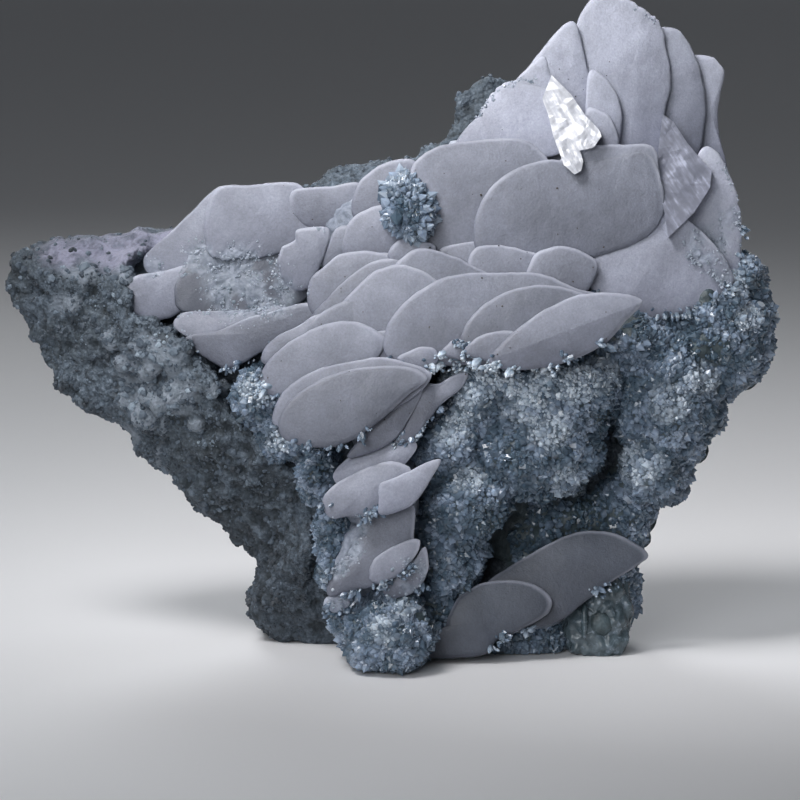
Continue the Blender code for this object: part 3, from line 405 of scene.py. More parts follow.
# The blades: flat lenses of frosted, pale lilac-grey chalcedony that grew over and into one another like
# tiles. Each is laid out by the places on its rim (across, up), clockwise. Out is how far it stands out of
# the face, lean and swing how fast it comes forward going up and across, root how far it runs back.
BLADES = {
    "front_right": (27, -0.12, -0.04, 2.1, 5, [(10.7, 52), (13.5, 56.2), (19, 60.5), (26, 64), (33, 64.6),
        (38.2, 63.2), (35.5, 59.7), (31.5, 55.5), (25, 52.2), (16, 50.6)]),
    "front_next": (23.5, -0.12, -0.04, 2.1, 6, [(6, 54.5), (6.3, 58.5), (9.5, 62.3), (14.5, 65), (20, 66), (26, 65),
        (31, 62.5), (30, 56), (22, 52.5), (12, 52)]),
    "front_next_small": (25, -0.1, 0, 1.5, 4, [(6.2, 53.8), (8, 56.2), (11, 57.4), (15, 57.6), (16, 54),
        (11, 52.3)]),
    "front_next_scale": (23.5, -0.1, 0, 1.3, 4, [(2, 53.5), (3.4, 55.4), (5.5, 56.2), (8, 55), (6, 52.6)]),
    "front_wide": (20, -0.1, -0.03, 2.3, 6, [(-7.8, 53), (-8.1, 57.5), (-5.5, 62), (0, 66.2), (6, 68), (13, 68.2),
        (20, 68), (26, 65.5), (31, 63.5), (28, 57), (16, 52), (4, 51.5), (-3, 51.5)]),
    "front_wide_scale": (22.5, -0.1, 0, 1.3, 4, [(-5.8, 52.6), (-3.6, 54.2), (-1, 54.9), (1.2, 54.2), (1.2, 52),
        (-2, 50.5)]),
    "middle_tall": (17, -0.1, 0.04, 2.1, 6, [(-17.4, 58.8), (-16.2, 62.3), (-12, 66.8), (-8.8, 69), (-4, 69.6),
        (2, 66), (4, 58), (-6, 54), (-13, 55)]),
    "middle_upper": (16, -0.1, -0.03, 2, 6, [(-6.5, 68.5), (-5, 71), (-2.5, 72.4), (0.5, 72.4), (4, 71.3),
        (8, 69.3), (12, 66.5), (10, 60), (2, 57), (-5, 62)]),
    "middle_low": (18.6, -0.1, 0, 1.6, 5, [(-16, 52.8), (-15.4, 55.2), (-12.5, 56.8), (-8.5, 57.8), (-5, 57),
        (-6, 52), (-11, 50.5)]),
    "middle_back": (14.2, -0.05, 0.04, 2, 6, [(-21.3, 60.3), (-18.8, 63.3), (-15.5, 66.6), (-12, 69.3), (-8, 70.8),
        (-4, 70), (-6, 62), (-14, 57), (-20, 57.5)]),
    "west": (19, -0.1, 0.08, 2.1, 6, [(-30.8, 48), (-30, 51), (-27.5, 54), (-23.5, 56.9), (-18.5, 59), (-13, 59.3),
        (-8, 56), (-12, 50), (-20, 46), (-28, 46)]),
    "west_back": (16.4, -0.1, 0.08, 1.8, 6, [(-30.1, 52), (-29.6, 54.8), (-27, 57.1), (-23.5, 58.8), (-20.5, 60.6),
        (-16, 61), (-18, 55), (-25, 51)]),
    "west_strip": (17, -0.1, 0.05, 1.6, 6, [(-22.4, 57.4), (-20.6, 60), (-17.5, 62.2), (-13, 63.5), (-11, 60),
        (-14, 56.5), (-19, 55.8)]),
    "lowest": (25.5, -0.12, 0.04, 2.3, 5, [(-27.3, 40), (-26.6, 43.4), (-23.5, 46.6), (-18, 49.8), (-11, 51.3),
        (-4, 51.3), (-0.3, 49.3), (-3.5, 46.5), (-8.5, 42), (-13.5, 38.2), (-19, 36.6), (-25, 37.6)]),
    "lowest_back": (23.4, -0.12, 0.04, 2, 6, [(-28.1, 41), (-27.6, 45), (-24.8, 48.3), (-20, 50.9), (-14, 52.2),
        (-9.5, 53), (-5, 52.3), (-1, 51), (0.1, 49.2), (-4, 45), (-14, 40), (-24, 38.5)]),
    "lowest_strip": (23.2, -0.1, -0.05, 1.6, 6, [(-4.6, 48), (-1.5, 48), (-1.6, 46), (-3.7, 42), (-6.3, 38.3),
        (-10, 36), (-14.8, 35), (-13, 38), (-9, 42.5)]),
    "lowest_right": (21.6, -0.1, -0.08, 1.6, 6, [(-1.8, 47.8), (1.5, 48.2), (4.5, 49.9), (6.8, 50.1), (5.6, 47.4),
        (2.2, 44.6), (-0.8, 41), (-2.8, 38.4), (-5.8, 37.8), (-4.2, 41.8)]),
    "ridge_low": (13, -0.05, 0.05, 2, 6, [(-22, 62.5), (-21.8, 66.5), (-19.8, 68.8), (-16.5, 71.4), (-13, 72.1),
        (-9.5, 71.9), (-6.5, 70.8), (-8, 64), (-15, 60), (-20, 60)]),
    "ridge_middle": (10.5, 0, 0.05, 1.8, 5, [(-15.7, 71.5), (-15.6, 74.8), (-14.2, 77.8), (-11.5, 79.6), (-8, 80.3),
        (-5, 78), (-5.5, 72), (-9, 69.5), (-13, 69.5)]),
    "ridge_small": (14, 0, 0, 1.5, 4, [(-7.6, 70.8), (-6.6, 73.2), (-4.6, 74.4), (-1.5, 74), (1, 73), (0, 70),
        (-4, 69)]),
    "ridge_high": (8, 0, 0.03, 2, 5, [(-14, 79), (-13.8, 82), (-12.5, 84.8), (-9.5, 87.3), (-6, 88.6), (-3, 88.5),
        (-1, 85), (-2, 78), (-7, 74.5), (-12, 76)]),
    "ridge_sliver": (9.5, 0.05, 0.1, 1.6, 5, [(-19.5, 69.5), (-18.2, 73.8), (-16.8, 76.2), (-14.8, 76.6), (-13, 74),
        (-14, 70), (-17, 68.5)]),
    "ridge_right": (13, -0.08, -0.02, 1.8, 6, [(1.5, 71.6), (4.5, 73.4), (9, 73.9), (13.5, 73.5), (17, 72.6),
        (20, 71.5), (22, 67), (14, 63), (5, 65)]),
    "ridge_right_front": (15, -0.08, -0.02, 1.6, 5, [(7, 71), (8.5, 72.8), (12.5, 73.2), (16.5, 72.4), (20, 71),
        (22, 66), (16, 62), (9, 64), (7, 68)]),
    "ridge_far_right": (15.5, -0.08, -0.05, 1.8, 6, [(18.5, 71), (21, 72.6), (24.5, 73), (27.5, 72), (30.2, 69.9),
        (29.6, 67), (27, 64), (21, 62), (17, 65)]),
    "left_end": (1.5, -0.05, 0.18, 1.6, 7, [(-51.5, 70.8), (-47.5, 74.8), (-43.5, 78.6), (-37.5, 83.8),
        (-34.5, 79), (-35, 71), (-44, 66.5), (-50, 67.5)]),
    "left_top": (3.4, -0.02, -0.02, 1.9, 7, [(-38.6, 83.2), (-32, 84), (-25.5, 84.6), (-22.5, 83.3), (-19, 78),
        (-21, 73.5), (-27, 71.6), (-33, 70.4), (-39.3, 71), (-40.8, 76)]),
    "left_shelf": (4, 0.05, 0.03, 1.6, 6, [(-24.5, 83), (-18, 83.7), (-12.8, 84.3), (-12, 80), (-15, 76.5),
        (-21, 76), (-25, 79)]),
    "left_rough": (3, -0.2, 0.0, 2, 6, [(-44, 70), (-42, 74), (-36, 75), (-28, 74.5), (-23, 71), (-22, 64),
        (-30, 60.5), (-38, 60.5), (-45, 61.5), (-45.8, 66)]),
    "left_block": (2.8, 0.06, -0.1, 2, 6, [(-55.3, 62.5), (-55, 66.2), (-53, 67.6), (-48, 68.6), (-42, 69.5),
        (-43.5, 63), (-46.5, 60.2), (-51, 59.8)]),
    "left_wedge": (6.2, -0.3, 0.1, 1.6, 5, [(-46, 58.6), (-44.5, 61), (-39, 61.3), (-33, 61.6), (-26, 62.3),
        (-30, 58.5), (-36, 57), (-42, 56.2)]),
    "left_front": (8.5, 0.12, 0.1, 1.8, 7, [(-44, 56.3), (-38, 57.9), (-33.5, 59.8), (-28, 61.4), (-22, 62.8),
        (-20.5, 60), (-25, 56.5), (-30, 54), (-35.5, 51.2), (-38.7, 51.8)]),
    "left_loose": (9.5, 0.05, 0.05, 1.5, 8, [(-27.6, 69.8), (-26.8, 72.6), (-24.4, 74.2), (-23.8, 76), (-19, 76.5),
        (-18, 75), (-19.3, 70.5), (-21.3, 66), (-23.5, 65), (-26.3, 66.3)]),
    "top_tall": (4, -0.08, -0.05, 2.6, 7, [(26, 111), (27.8, 116), (31, 118.3), (35.5, 117.6), (39.5, 115),
        (41.6, 113), (42.6, 108), (43.4, 102.5), (42.3, 97), (41.5, 88), (39, 80), (30, 80), (27, 92),
        (25.5, 102)]),
    "top_left": (5.9, -0.06, -0.05, 2, 6, [(17.5, 104), (20.5, 108.8), (24, 112.8), (26.2, 113.2), (27.5, 109),
        (28.7, 104), (30.3, 100), (31.2, 95), (30, 88), (22, 86), (18, 94)]),
    "top_lobe": (6.9, -0.06, -0.03, 1.5, 5, [(14.5, 101), (17.5, 105), (20.4, 107.3), (21.6, 104.5), (23.5, 101),
        (27, 97), (29, 93), (26, 87), (19, 86), (14, 92)]),
    "top_scale": (7, -0.05, -0.05, 1.5, 5, [(28.5, 104), (31, 103.8), (33.3, 101), (34.5, 97), (34.2, 92), (33, 87),
        (29, 86), (28, 95)]),
    "top_chip": (8.6, -0.05, -0.05, 1.3, 5, [(28, 97), (31, 97.2), (32.8, 95.5), (34, 91.5), (32.5, 87),
        (28.5, 86)]),
    "top_ledge": (12.2, 0.02, -0.04, 1.5, 6, [(23, 88), (28.5, 90.9), (35, 91.3), (40.2, 90.8), (41.5, 85.5),
        (42, 81), (36, 78.5), (29, 78), (23, 82)]),
    "top_front": (13, -0.03, -0.03, 2.3, 6, [(8, 73.5), (8.1, 78), (10.5, 83), (15, 86.7), (20.5, 88.4), (28, 88.5),
        (35, 89.8), (39.3, 90), (41.4, 86), (42, 79), (38, 74), (27, 70), (18, 67), (10, 68)]),
    "top_low": (11.3, -0.03, -0.12, 2.3, 8, [(29, 70), (30.8, 76.5), (34, 79.6), (40, 80.8), (44.5, 79), (49, 75.5),
        (53, 71), (54.5, 66), (50, 62.5), (42, 60), (33, 60), (29, 65)]),
    "top_bright": (8.6, -0.3, -0.02, 2.1, 9, [(4.5, 91), (7.5, 95.5), (10, 99.3), (13, 102.3), (16.5, 103),
        (21, 102), (25, 98), (26, 91), (18, 88.5), (8, 88.5)]),
    "top_under": (11.4, -0.1, 0.0, 2, 9, [(-4, 83), (-3, 87.7), (0.5, 90.5), (5, 91.6), (11, 92.3), (16.5, 92.2),
        (21, 89), (22, 84), (16, 77), (8, 71), (0, 72), (-3, 77)]),
    "top_small": (10.4, 0, 0, 1.5, 4, [(1.3, 73), (1.6, 77), (3.3, 78.6), (5.8, 78.4), (7.6, 76), (8, 72.5),
        (5, 70.5), (2.5, 70.5)]),
    "top_right": (1, -0.04, -0.1, 2, 5, [(40, 112), (44, 112.3), (46, 110.5), (47.7, 107.2), (48.9, 103.5),
        (49.6, 99), (49.4, 94), (47.5, 88), (43, 87), (40, 96), (39, 105)]),
    "top_edge": (-1.6, -0.02, -0.12, 2, 4, [(46.5, 106.8), (50.5, 107.2), (52.2, 105.8), (53, 104), (52.2, 100),
        (51.8, 96), (52.3, 92), (53.5, 86), (50, 83), (46.5, 90), (46, 100)]),
    "top_facet": (5, 0, -0.15, 2.1, 7, [(48.5, 90), (51.3, 90.3), (53.4, 87), (55.1, 83), (56.1, 78), (56.1, 73),
        (55, 66), (50, 62), (45.5, 70), (45, 80)]),
    "stair_first": (22.5, -0.1, 0, 2, 6, [(-17.4, 31.6), (-15.8, 34), (-12.5, 36), (-8.5, 37.6), (-4.5, 38.1),
        (-2.3, 37.3), (-3.2, 35.3), (-5.5, 32.8), (-10, 30), (-15.5, 29.5)]),
    "stair_second": (24.5, -0.1, 0, 2.1, 6, [(-19.3, 26.3), (-18.6, 28.6), (-15.5, 31.2), (-11, 33.3), (-7, 34.2),
        (-3.4, 33), (-5, 29.5), (-9, 26), (-12, 24.2), (-15, 24.3), (-17.8, 24)]),
    "stair_slab_top": (25.6, 0.05, -0.1, 1.4, 7, [(-9, 30.2), (-6, 31.4), (-2, 33.4), (1.2, 34.7), (2, 34.2),
        (0.2, 31), (-2, 27.6), (-4.5, 25.6), (-8.9, 24.6), (-9.3, 27)]),
    "stair_slab": (21.6, -0.05, -0.08, 2, 7, [(-18.6, 12), (-17.8, 14.8), (-15.2, 17.8), (-13.4, 21), (-11.6, 24.2),
        (-7, 26.3), (-3, 26.4), (-2.7, 23), (-2.9, 19.6), (-2.2, 18), (-5, 14.2), (-9.5, 12), (-14, 10.8),
        (-18, 10)]),
    "stair_slab_low": (22.3, -0.05, -0.08, 1.2, 6, [(-11, 14), (-10.2, 16.5), (-7, 18.8), (-3.5, 20.2), (-1.8, 20),
        (-2.5, 17.5), (-5, 14.5), (-8.5, 12.4), (-10.5, 12.6)]),
    "stair_shard": (20.2, 0.1, -0.1, 1, 5, [(-8.5, 11), (-6, 13.5), (-3, 16.4), (-1.4, 18.6), (-0.6, 18.4),
        (-0.2, 15), (-1.6, 12), (-4, 10), (-7, 9.6)]),
    "stair_lump": (20.5, 0, 0, 1.5, 5, [(-19.2, 8.4), (-18.4, 9.9), (-15.5, 10.2), (-14.4, 8.8), (-15.8, 7.2),
        (-18, 7.2)]),
    "foot_back": (8, -0.1, -0.05, 2.1, 6, [(10, 11.5), (14, 15.1), (19, 18.1), (24, 20.7), (29.5, 21.8),
        (34.5, 20.8), (39.2, 17.6), (37, 15.3), (32.5, 12.5), (28, 9), (22, 5), (14, 5)]),
    "foot_front": (11.5, -0.05, -0.03, 2.3, 6, [(-4, -0.9), (-3, 2.4), (-0.5, 3.6), (2.2, 4), (3.4, 6.4),
        (5.2, 9.9), (9, 12.2), (13.5, 12.9), (18.5, 12.2), (21.8, 9.6), (21.2, 6.8), (17, 4.3), (12, 2),
        (9, -0.8)]),
}
# the lumps that tie a group's blades together at their roots: across, up, out, wide, tall, deep
BEDS = {
    "upper": [(29, 88, -3, 13, 20, 8), (11, 85, -2, 12, 8, 8), (47, 76, -2, 7, 11, 6), (36, 100, -3, 8, 12, 6)],
    "left": [(-31, 73, -3, 13, 9.5, 6), (-45, 66, -5, 6, 4.5, 4)],
    "middle": [(5, 61, 4, 25, 9.5, 13.5), (-14, 50, 8, 11.5, 9, 12.5)],
    "ridge": [(-8, 75, 0, 12, 10, 9)],
    "lower": [(-9, 29, 12, 7, 8, 10), (-12, 17, 10, 5.5, 7, 10), (-8.5, 38.5, 11, 5, 6.5, 10)],
    "foot": [(16, 8, 3, 9, 5, 7)],
}
# creases, where a blade's face breaks: from, to, and how steeply it falls away on the right of that line
CREASES = {
    "front_right": [((28, 59), (37.5, 62.6), 0.2)],
    "left_front": [((-45, 58), (-31, 60.6), -0.3)],
    "top_tall": [((38, 112), (36, 90), -0.12)],
    "left_top": [((-37.4, 85), (-41, 70), 0.25)],
    "top_low": [((40, 70), (46, 79), 0.1)],
}


# soft round patches (across, up, radius, amount) where the frosted skin is broken, and where rims are ragged
BROKEN = [
    (-34, 66.5, 8.5, 0.8), (-41, 70.5, 4, 0.7), (-28, 64, 5, 0.7), (-15, 18.5, 3.6, 1), (-13, 22.5, 2.5, 1),
    (-3.5, 13.6, 4, 0.8), (-17, 21.5, 3, 0.8), (-17, 8.6, 3, 0.7), (-16.8, 15, 2.5, 1), (50, 73, 4.5, 0.9),
    (53, 69, 3.5, 0.8), (54, 78, 3, 0.4), (-50, 69, 2.5, 0.5),
]
RAGGED = [
    (-33, 70.5, 9, 1), (40, 115.5, 5, 0.7), (10, 100.5, 7, 0.8), (55.5, 76, 7, 0.5), (-25, 70, 4.5, 0.4),
    (50, 105, 4, 0.4), (-15, 15, 6, 0.6), (-43, 72, 5, 0.5),
]
# blades with faint upright ridges, with one more thin layer on their face, and with a dome of their own
RIDGED = {"top_tall": 0.025, "top_right": 0.03, "top_left": 0.015}
TERRACED = {
    "lowest": 0.9, "front_right": 0.93, "front_next": 0.94, "front_wide": 0.95, "west": 0.93, "top_front": 0.95,
    "foot_front": 0.92, "stair_first": 0.9,
}
DOMED = {
    "stair_first": 0.9, "stair_second": 0.95, "ridge_high": 0.7, "ridge_middle": 0.7, "ridge_low": 0.6,
    "middle_back": 0.6, "left_wedge": 0.7, "front_wide_scale": 0.5,
}
BLADE_FACET = 0.42
BLADE_BANDS = 44


def blade_middle(rim):
    return np.mean(np.array(rim, float), axis=0)


def swell(share, thick, reach, key):
    """Half a lens's thickness from its middle (share 0) to its blunt rim (share 1)."""
    share = np.clip(share, 0, 1)
    dome = DOMED.get(key, min(0.065 * reach, thick / 2 - 0.4))
    return (thick / 2 - dome) * np.sqrt(1 - share ** (2.4 * reach)) + dome * (1 - share**2)


def join_in(whole, bm, values):
    """Adds one finished shell to its group, with the values that its material reads at each corner."""
    for name, each in zip(("tone", "rim", "broken", "low"), values):
        layer = bm.verts.layers.float.new(name)
        for vert, value in zip(bm.verts, np.broadcast_to(each, len(bm.verts))):
            vert[layer] = value
    shell = bpy.data.meshes.new("shell")
    bm.to_mesh(shell)
    bm.free()
    whole.from_mesh(shell)
    bpy.data.meshes.remove(shell)


def blade_shell(key, tone):
    """One lens: a gently domed face, a thin rim, and a root that runs back to what it grew on."""
    bm = bmesh.new()
    out, lean, swing, thick, root, rim = BLADES[key]
    middle = blade_middle(rim)
    reach = np.linalg.norm(np.array(rim) - middle, axis=1)
    around = int(np.clip(math.tau * reach.mean() / BLADE_FACET, 60, 260))
    verts = bmesh.ops.create_uvsphere(bm, u_segments=around, v_segments=BLADE_BANDS, radius=1)["verts"]
    ball = np.array([v.co for v in verts])
    share = np.minimum(np.hypot(ball[:, 0], ball[:, 1]), 1)
    edge = round_loop(rim, -np.arctan2(ball[:, 1], ball[:, 0]) / math.tau) - middle
    spots = np.column_stack((edge + middle, np.full(len(verts), out)))
    nicks = blobs(spots, RAGGED)
    edge_places = on_face(spots)
    shift = 0.16 * ripple(edge_places, 2.6, 5, 2) - 0.9 * nicks * np.abs(ripple(edge_places, 1.7, 19, 3))
    flat = share[:, None] * edge * (1 + shift / np.linalg.norm(edge, axis=1))[:, None]
    front = ball[:, 2] > -0.001
    height = swell(share, thick, reach.mean(), key)
    height -= 0.07 * smooth_step(share, TERRACED.get(key, 2) - 0.02, TERRACED.get(key, 2) + 0.02) * front
    depth = out + lean * flat[:, 1] + swing * flat[:, 0] + np.where(front, 1, -1) * height
    depth -= np.where(front, 0, (root + 1) * np.clip(1 - share / 0.8, 0, 1))
    flat += middle
    for start, end, fall in CREASES.get(key, []):
        along = np.subtract(end, start) / np.linalg.norm(np.subtract(end, start))
        side = (flat[:, 0] - start[0]) * along[1] - (flat[:, 1] - start[1]) * along[0]
        depth -= abs(fall) * np.maximum(side * np.sign(fall), 0)
    spots = np.column_stack((flat, depth))
    places = on_face(spots)
    broken = blobs(spots, BROKEN) * smooth_step(ripple(places, 4, 9, 2), -0.5, -0.1) * (share < 0.995)
    depth = depth + front * (0.13 * ripple(places, 7, 31, 2) + 0.03 * ripple(places, 1.9, 5))
    if key in RIDGED:
        depth += front * RIDGED[key] * np.sin(1.5 * flat[:, 0] + 3 * ripple(places, 12, 2)) * (1 - share**4)
    depth += front * broken * (0.55 * ripple(places, 2.4, 17, 3) + 0.3 * np.abs(ripple(places, 1.1, 41)) - 0.25)
    for vert, place in zip(verts, on_face(np.column_stack((flat, depth)))):
        vert.co = place
        vert.co.z = max(vert.co.z, 0)
    # Painted highlight: only the rims on each blade's upper side, where light catches them, are painted paler.
    upper_side = smooth_step(edge[:, 1] / np.linalg.norm(edge, axis=1), -0.5, 0.5)
    painted_rim_highlight = smooth_step(share, 1 - 0.9 / reach.mean(), 1 - 0.2 / reach.mean()) * (ball[:, 2] > -0.25)
    painted_rim_highlight *= upper_side * (0.75 + 0.5 * ripple(edge_places, 6, 4))
    # Painted shade: low grows towards each blade's lower edge, and the material darkens the face there as if the
    # blade below shaded it.
    low = np.clip((middle[1] + reach.mean() - flat[:, 1]) / (2 * reach.mean()), 0, 1)
    return bm, (tone, painted_rim_highlight, broken, low)


def rough_bed(lump, tone):
    """A broken, sugary mass of the same stone, which ties a group's blades together behind."""
    bm = bmesh.new()
    verts = bmesh.ops.create_uvsphere(bm, u_segments=80, v_segments=50, radius=1)["verts"]
    ball = np.array([v.co for v in verts])
    places = on_face(np.array(lump[:3]) + ball * np.array(lump[3:]))
    bumps = 1.1 * ripple(places, 6, 4, 3) + 0.45 * ripple(places, 1.9, 6, 2)
    for vert, spot, place, bump in zip(verts, ball, places, bumps):
        vert.co = Vector(place) + Vector((spot[0], -spot[2], spot[1])) * float(bump * MM)
        vert.co.z = max(vert.co.z, 0)
    # The bed keeps its group's tone, has no painted rim highlight, is mostly broken sugary skin, and takes half of
    # the blades' painted low shade (low 0.5).
    return bm, (tone, 0, 0.75, 0.5)


def blade_shares(spots, key):
    """For each spot: how far it lies from the blade's middle to its rim, and how far it is before its face."""
    out, lean, swing, thick, _, rim = BLADES[key]
    middle = blade_middle(rim)
    turns = np.linspace(0, 1, 241)[:-1]
    edge = round_loop(rim, turns) - middle
    angle = np.arctan2(edge[:, 1], edge[:, 0])
    order = np.argsort(angle)
    flat = spots[:, :2] - middle
    reach = np.hypot(*edge.T)
    share = np.hypot(*flat.T) / np.interp(np.arctan2(flat[:, 1], flat[:, 0]), angle[order], reach[order],
                                          period=math.tau)
    face = out + lean * flat[:, 1] + swing * flat[:, 0] + swell(share, thick, reach.mean(), key)
    return share, spots[:, 2] - face


GROUPS = {
    "blades_upper": ("upper", "blades_main", ["top_tall", "top_left", "top_lobe", "top_scale", "top_chip",
        "top_ledge", "top_front", "top_low", "top_bright", "top_under", "top_small", "top_right", "top_edge",
        "top_facet"]),
    "blades_left": ("left", "blades_main", ["left_end", "left_top", "left_shelf", "left_rough", "left_block",
        "left_wedge", "left_front", "left_loose"]),
    "blades_middle": ("middle", "blades_main", ["front_right", "front_next", "front_next_small", "front_next_scale",
        "front_wide", "front_wide_scale", "middle_tall", "middle_upper", "middle_low", "middle_back", "west",
        "west_back", "west_strip", "lowest", "lowest_back", "lowest_strip", "lowest_right"]),
    "blades_ridge": ("ridge", "blades_main", ["ridge_low", "ridge_middle", "ridge_small", "ridge_high",
        "ridge_sliver", "ridge_right", "ridge_right_front", "ridge_far_right"]),
    "blades_lower": ("lower", "blades_main", ["stair_first", "stair_second", "stair_slab_top", "stair_slab",
        "stair_slab_low", "stair_shard", "stair_lump"]),
    "blades_foot_pair": ("foot", "blades_foot", ["foot_back", "foot_front"]),
}

look = Recipe("frosted chalcedony")
# The tone sets each blade's paleness; through the group and blade tables it also carries painted light and shade.
colour = look.blend(look.value("tone"), (0.045, 0.055, 0.075), (0.47, 0.49, 0.58))
clouds, mottle, sugar = look.noise(8), look.noise(1.7, detail=5, rough=0.65, warp=0.4), look.noise(0.4, rough=0.75)
for amount, texture, (low, dark), (high, light) in ((0.5, clouds, (0.3, 0.33), (0.7, 0.67)),
                                                    (0.4, mottle, (0.3, 0.4), (0.7, 0.6)),
                                                    (0.5, sugar, (0.25, 0.34), (0.75, 0.66))):
    colour = look.blend(amount, colour, look.ramp(texture, [(low, grey(dark)), (high, grey(light))]), "OVERLAY")
# painted shade: each blade is multiplied darker towards its lower part (the low value)
painted_low_shade = look.ramp(look.value("low"), [(0, grey(1)), (1, (0.58, 0.59, 0.63))])
colour = look.blend(1.0, colour, painted_low_shade, "MULTIPLY")
# painted highlight: the upper rims (the rim value) are blended towards a pale lilac
colour = look.blend(look.maths("MULTIPLY", look.value("rim"), 0.5), colour, (0.56, 0.58, 0.68))
grains = look.ramp(look.noise(0.9, detail=4), [(0.35, (0.17, 0.21, 0.26)), (0.65, (0.40, 0.45, 0.54))])
colour = look.blend(look.maths("MULTIPLY", look.value("broken"), 0.7), colour, grains)
jagged = look.maths("MULTIPLY", look.value("broken"), look.cells(1.3))
coarse = look.bump(look.maths("ADD", jagged, look.noise(1.2, detail=2)), 0.6, 0.16)
frosted = look.finish({
    "Base Color": colour, "Roughness": 0.5, "Subsurface Weight": 0.2, "Subsurface Radius": (1.0, 0.95, 1.1),
    "Subsurface Scale": 0.0009, "Normal": look.bump(look.noise(0.32), 0.7, 0.12, coarse)})

# Paleness of each group, and its change for single blades: partly the stone's own tone, partly painted light and
# shade, with the high blades painted paler where more light falls and the foot pair painted dark as if in shadow.
GROUP_TONE_AND_SHADE = {"upper": 0.79, "left": 0.55, "middle": 0.44, "ridge": 0.44, "lower": 0.59, "foot": 0.08}
BLADE_TONE_AND_SHADE = {
    "top_right": -0.2, "top_bright": 0.1, "top_under": -0.42, "top_front": -0.4, "top_small": -0.2,
    "top_ledge": -0.25, "top_facet": 0.1, "top_tall": -0.05, "top_low": 0.08, "left_rough": -0.4,
    "left_block": 0.08, "left_end": -0.06, "left_front": -0.2, "stair_slab": -0.18, "stair_slab_top": 0.15,
    "stair_shard": -0.1, "stair_lump": 0.3, "stair_slab_low": -0.08, "foot_front": -0.08, "stair_first": 0.2,
    "west": 0.02, "lowest": -0.12, "front_next": -0.08, "west_back": 0.04, "ridge_high": 0.1,
    "ridge_middle": 0.1,
}
chance = np.random.default_rng(5)
for name, (bed, node, keys) in GROUPS.items():
    whole = bmesh.new()
    for key in keys:
        tone = GROUP_TONE_AND_SHADE[bed] + BLADE_TONE_AND_SHADE.get(key, 0) + chance.uniform(-0.06, 0.06)
        join_in(whole, *blade_shell(key, max(0, tone)))
    for lump in BEDS[bed]:
        join_in(whole, *rough_bed(lump, GROUP_TONE_AND_SHADE[bed]))
    blades = add_piece(name, whole)
    blades.data.materials.append(frosted)
    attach(blades, "root")
    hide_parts(node)

# The druse crust: thousands of small blue-grey quartz points that line the pocket, on a crust that swells
# in lobes and, on these, in little round rosettes. Under the highest blades the points are white with frost.
CRUST_SKIN, ROSETTE_SKIN = 1.1, 0.7
CRUST_POINTS, POINTS_PER_PIECE = 30000, 8800
CRUST_LOBES = [
    (51.3, 57.9, -2, 10.2, 12.8, 14), (42.3, 47, 1, 10, 15.5, 14.5), (40.3, 33.2, -1, 6, 7.2, 14),
    (21.6, 46.4, 9, 13.4, 8.4, 12), (18, 37, 7, 13, 9.6, 11.5), (9, 47, 9, 8, 8, 11.5), (36, 56, 4, 8, 8, 12),
    (48, 63, 2, 8, 5, 9), (6.5, 26.4, 10, 7.6, 7, 9.5), (3, 38, 10, 6.8, 8.4, 9), (3, 16.5, 7, 6.6, 8, 9),
    (-7.2, 2.4, 17, 8, 7.4, 11), (56, 66.5, -2, 4.6, 5, 9), (-31, 45.3, 8, 4, 5.4, 7), (-20.2, 32.7, 9, 3.6, 5.8, 8),
    (-26, 39, 8, 5, 4.6, 8), (-17, 19.5, 8, 3.4, 8, 8), (23.4, 21.5, -5, 14, 8, 7), (34.5, 24, -6, 5.6, 9, 11),
    (30.4, 5.7, -5, 5.6, 8, 11), (16.2, 3, -3, 10, 6, 9), (-9, 23.7, 5, 9, 14, 9), (33, 12, -7, 4.6, 8, 11),
    (2, 8, 2, 7, 8, 9), (-8, 10, 6, 8, 8, 10), (-13.2, 4.6, 13, 4.6, 4.4, 8), (-4.6, 6.6, 15, 4, 3.6, 8),
]


def add_lump(bm, lump, around=24, bands=14, straight_back=False):
    """A round lump (across, up, out, wide, tall, deep), straight-sided behind where asked."""
    verts = bmesh.ops.create_uvsphere(bm, u_segments=around, v_segments=bands, radius=1)["verts"]
    ball = np.array([v.co for v in verts])
    if straight_back:
        behind = (ball[:, 2] < 0) & (ball[:, 2] > -0.999)
        ball[behind, :2] /= np.hypot(ball[behind, 0], ball[behind, 1])[:, None]
    put_on_face(verts, np.array(lump[:3]) + ball * np.array(lump[3:]))


def corners_and_faces(bm):
    bm.verts.index_update()
    corners = np.array([v.co for v in bm.verts])
    faces = [[v.index for v in f.verts] for f in bm.faces]
    bm.free()
    return corners, faces


def one_point():
    """A six-sided quartz point, one high and one in radius."""
    bm = bmesh.new()
    bmesh.ops.create_cone(bm, cap_ends=True, cap_tris=False, segments=6, radius1=0.9, radius2=1, depth=0.58)
    bmesh.ops.translate(bm, verts=bm.verts, vec=(0, 0, 0.29))
    bm.faces.ensure_lookup_table()
    top = max(bm.faces, key=lambda f: f.calc_center_median().z)
    tip = bmesh.ops.poke(bm, faces=[top])["verts"][0]
    tip.co.z = 1
    return corners_and_faces(bm)


def one_crumb():
    """A rough little grain, one in radius."""
    bm = bmesh.new()
    bmesh.ops.create_icosphere(bm, subdivisions=1, radius=1)
    corners, faces = corners_and_faces(bm)
    return corners * np.random.default_rng(3).uniform(0.75, 1.15, (len(corners), 1)), faces


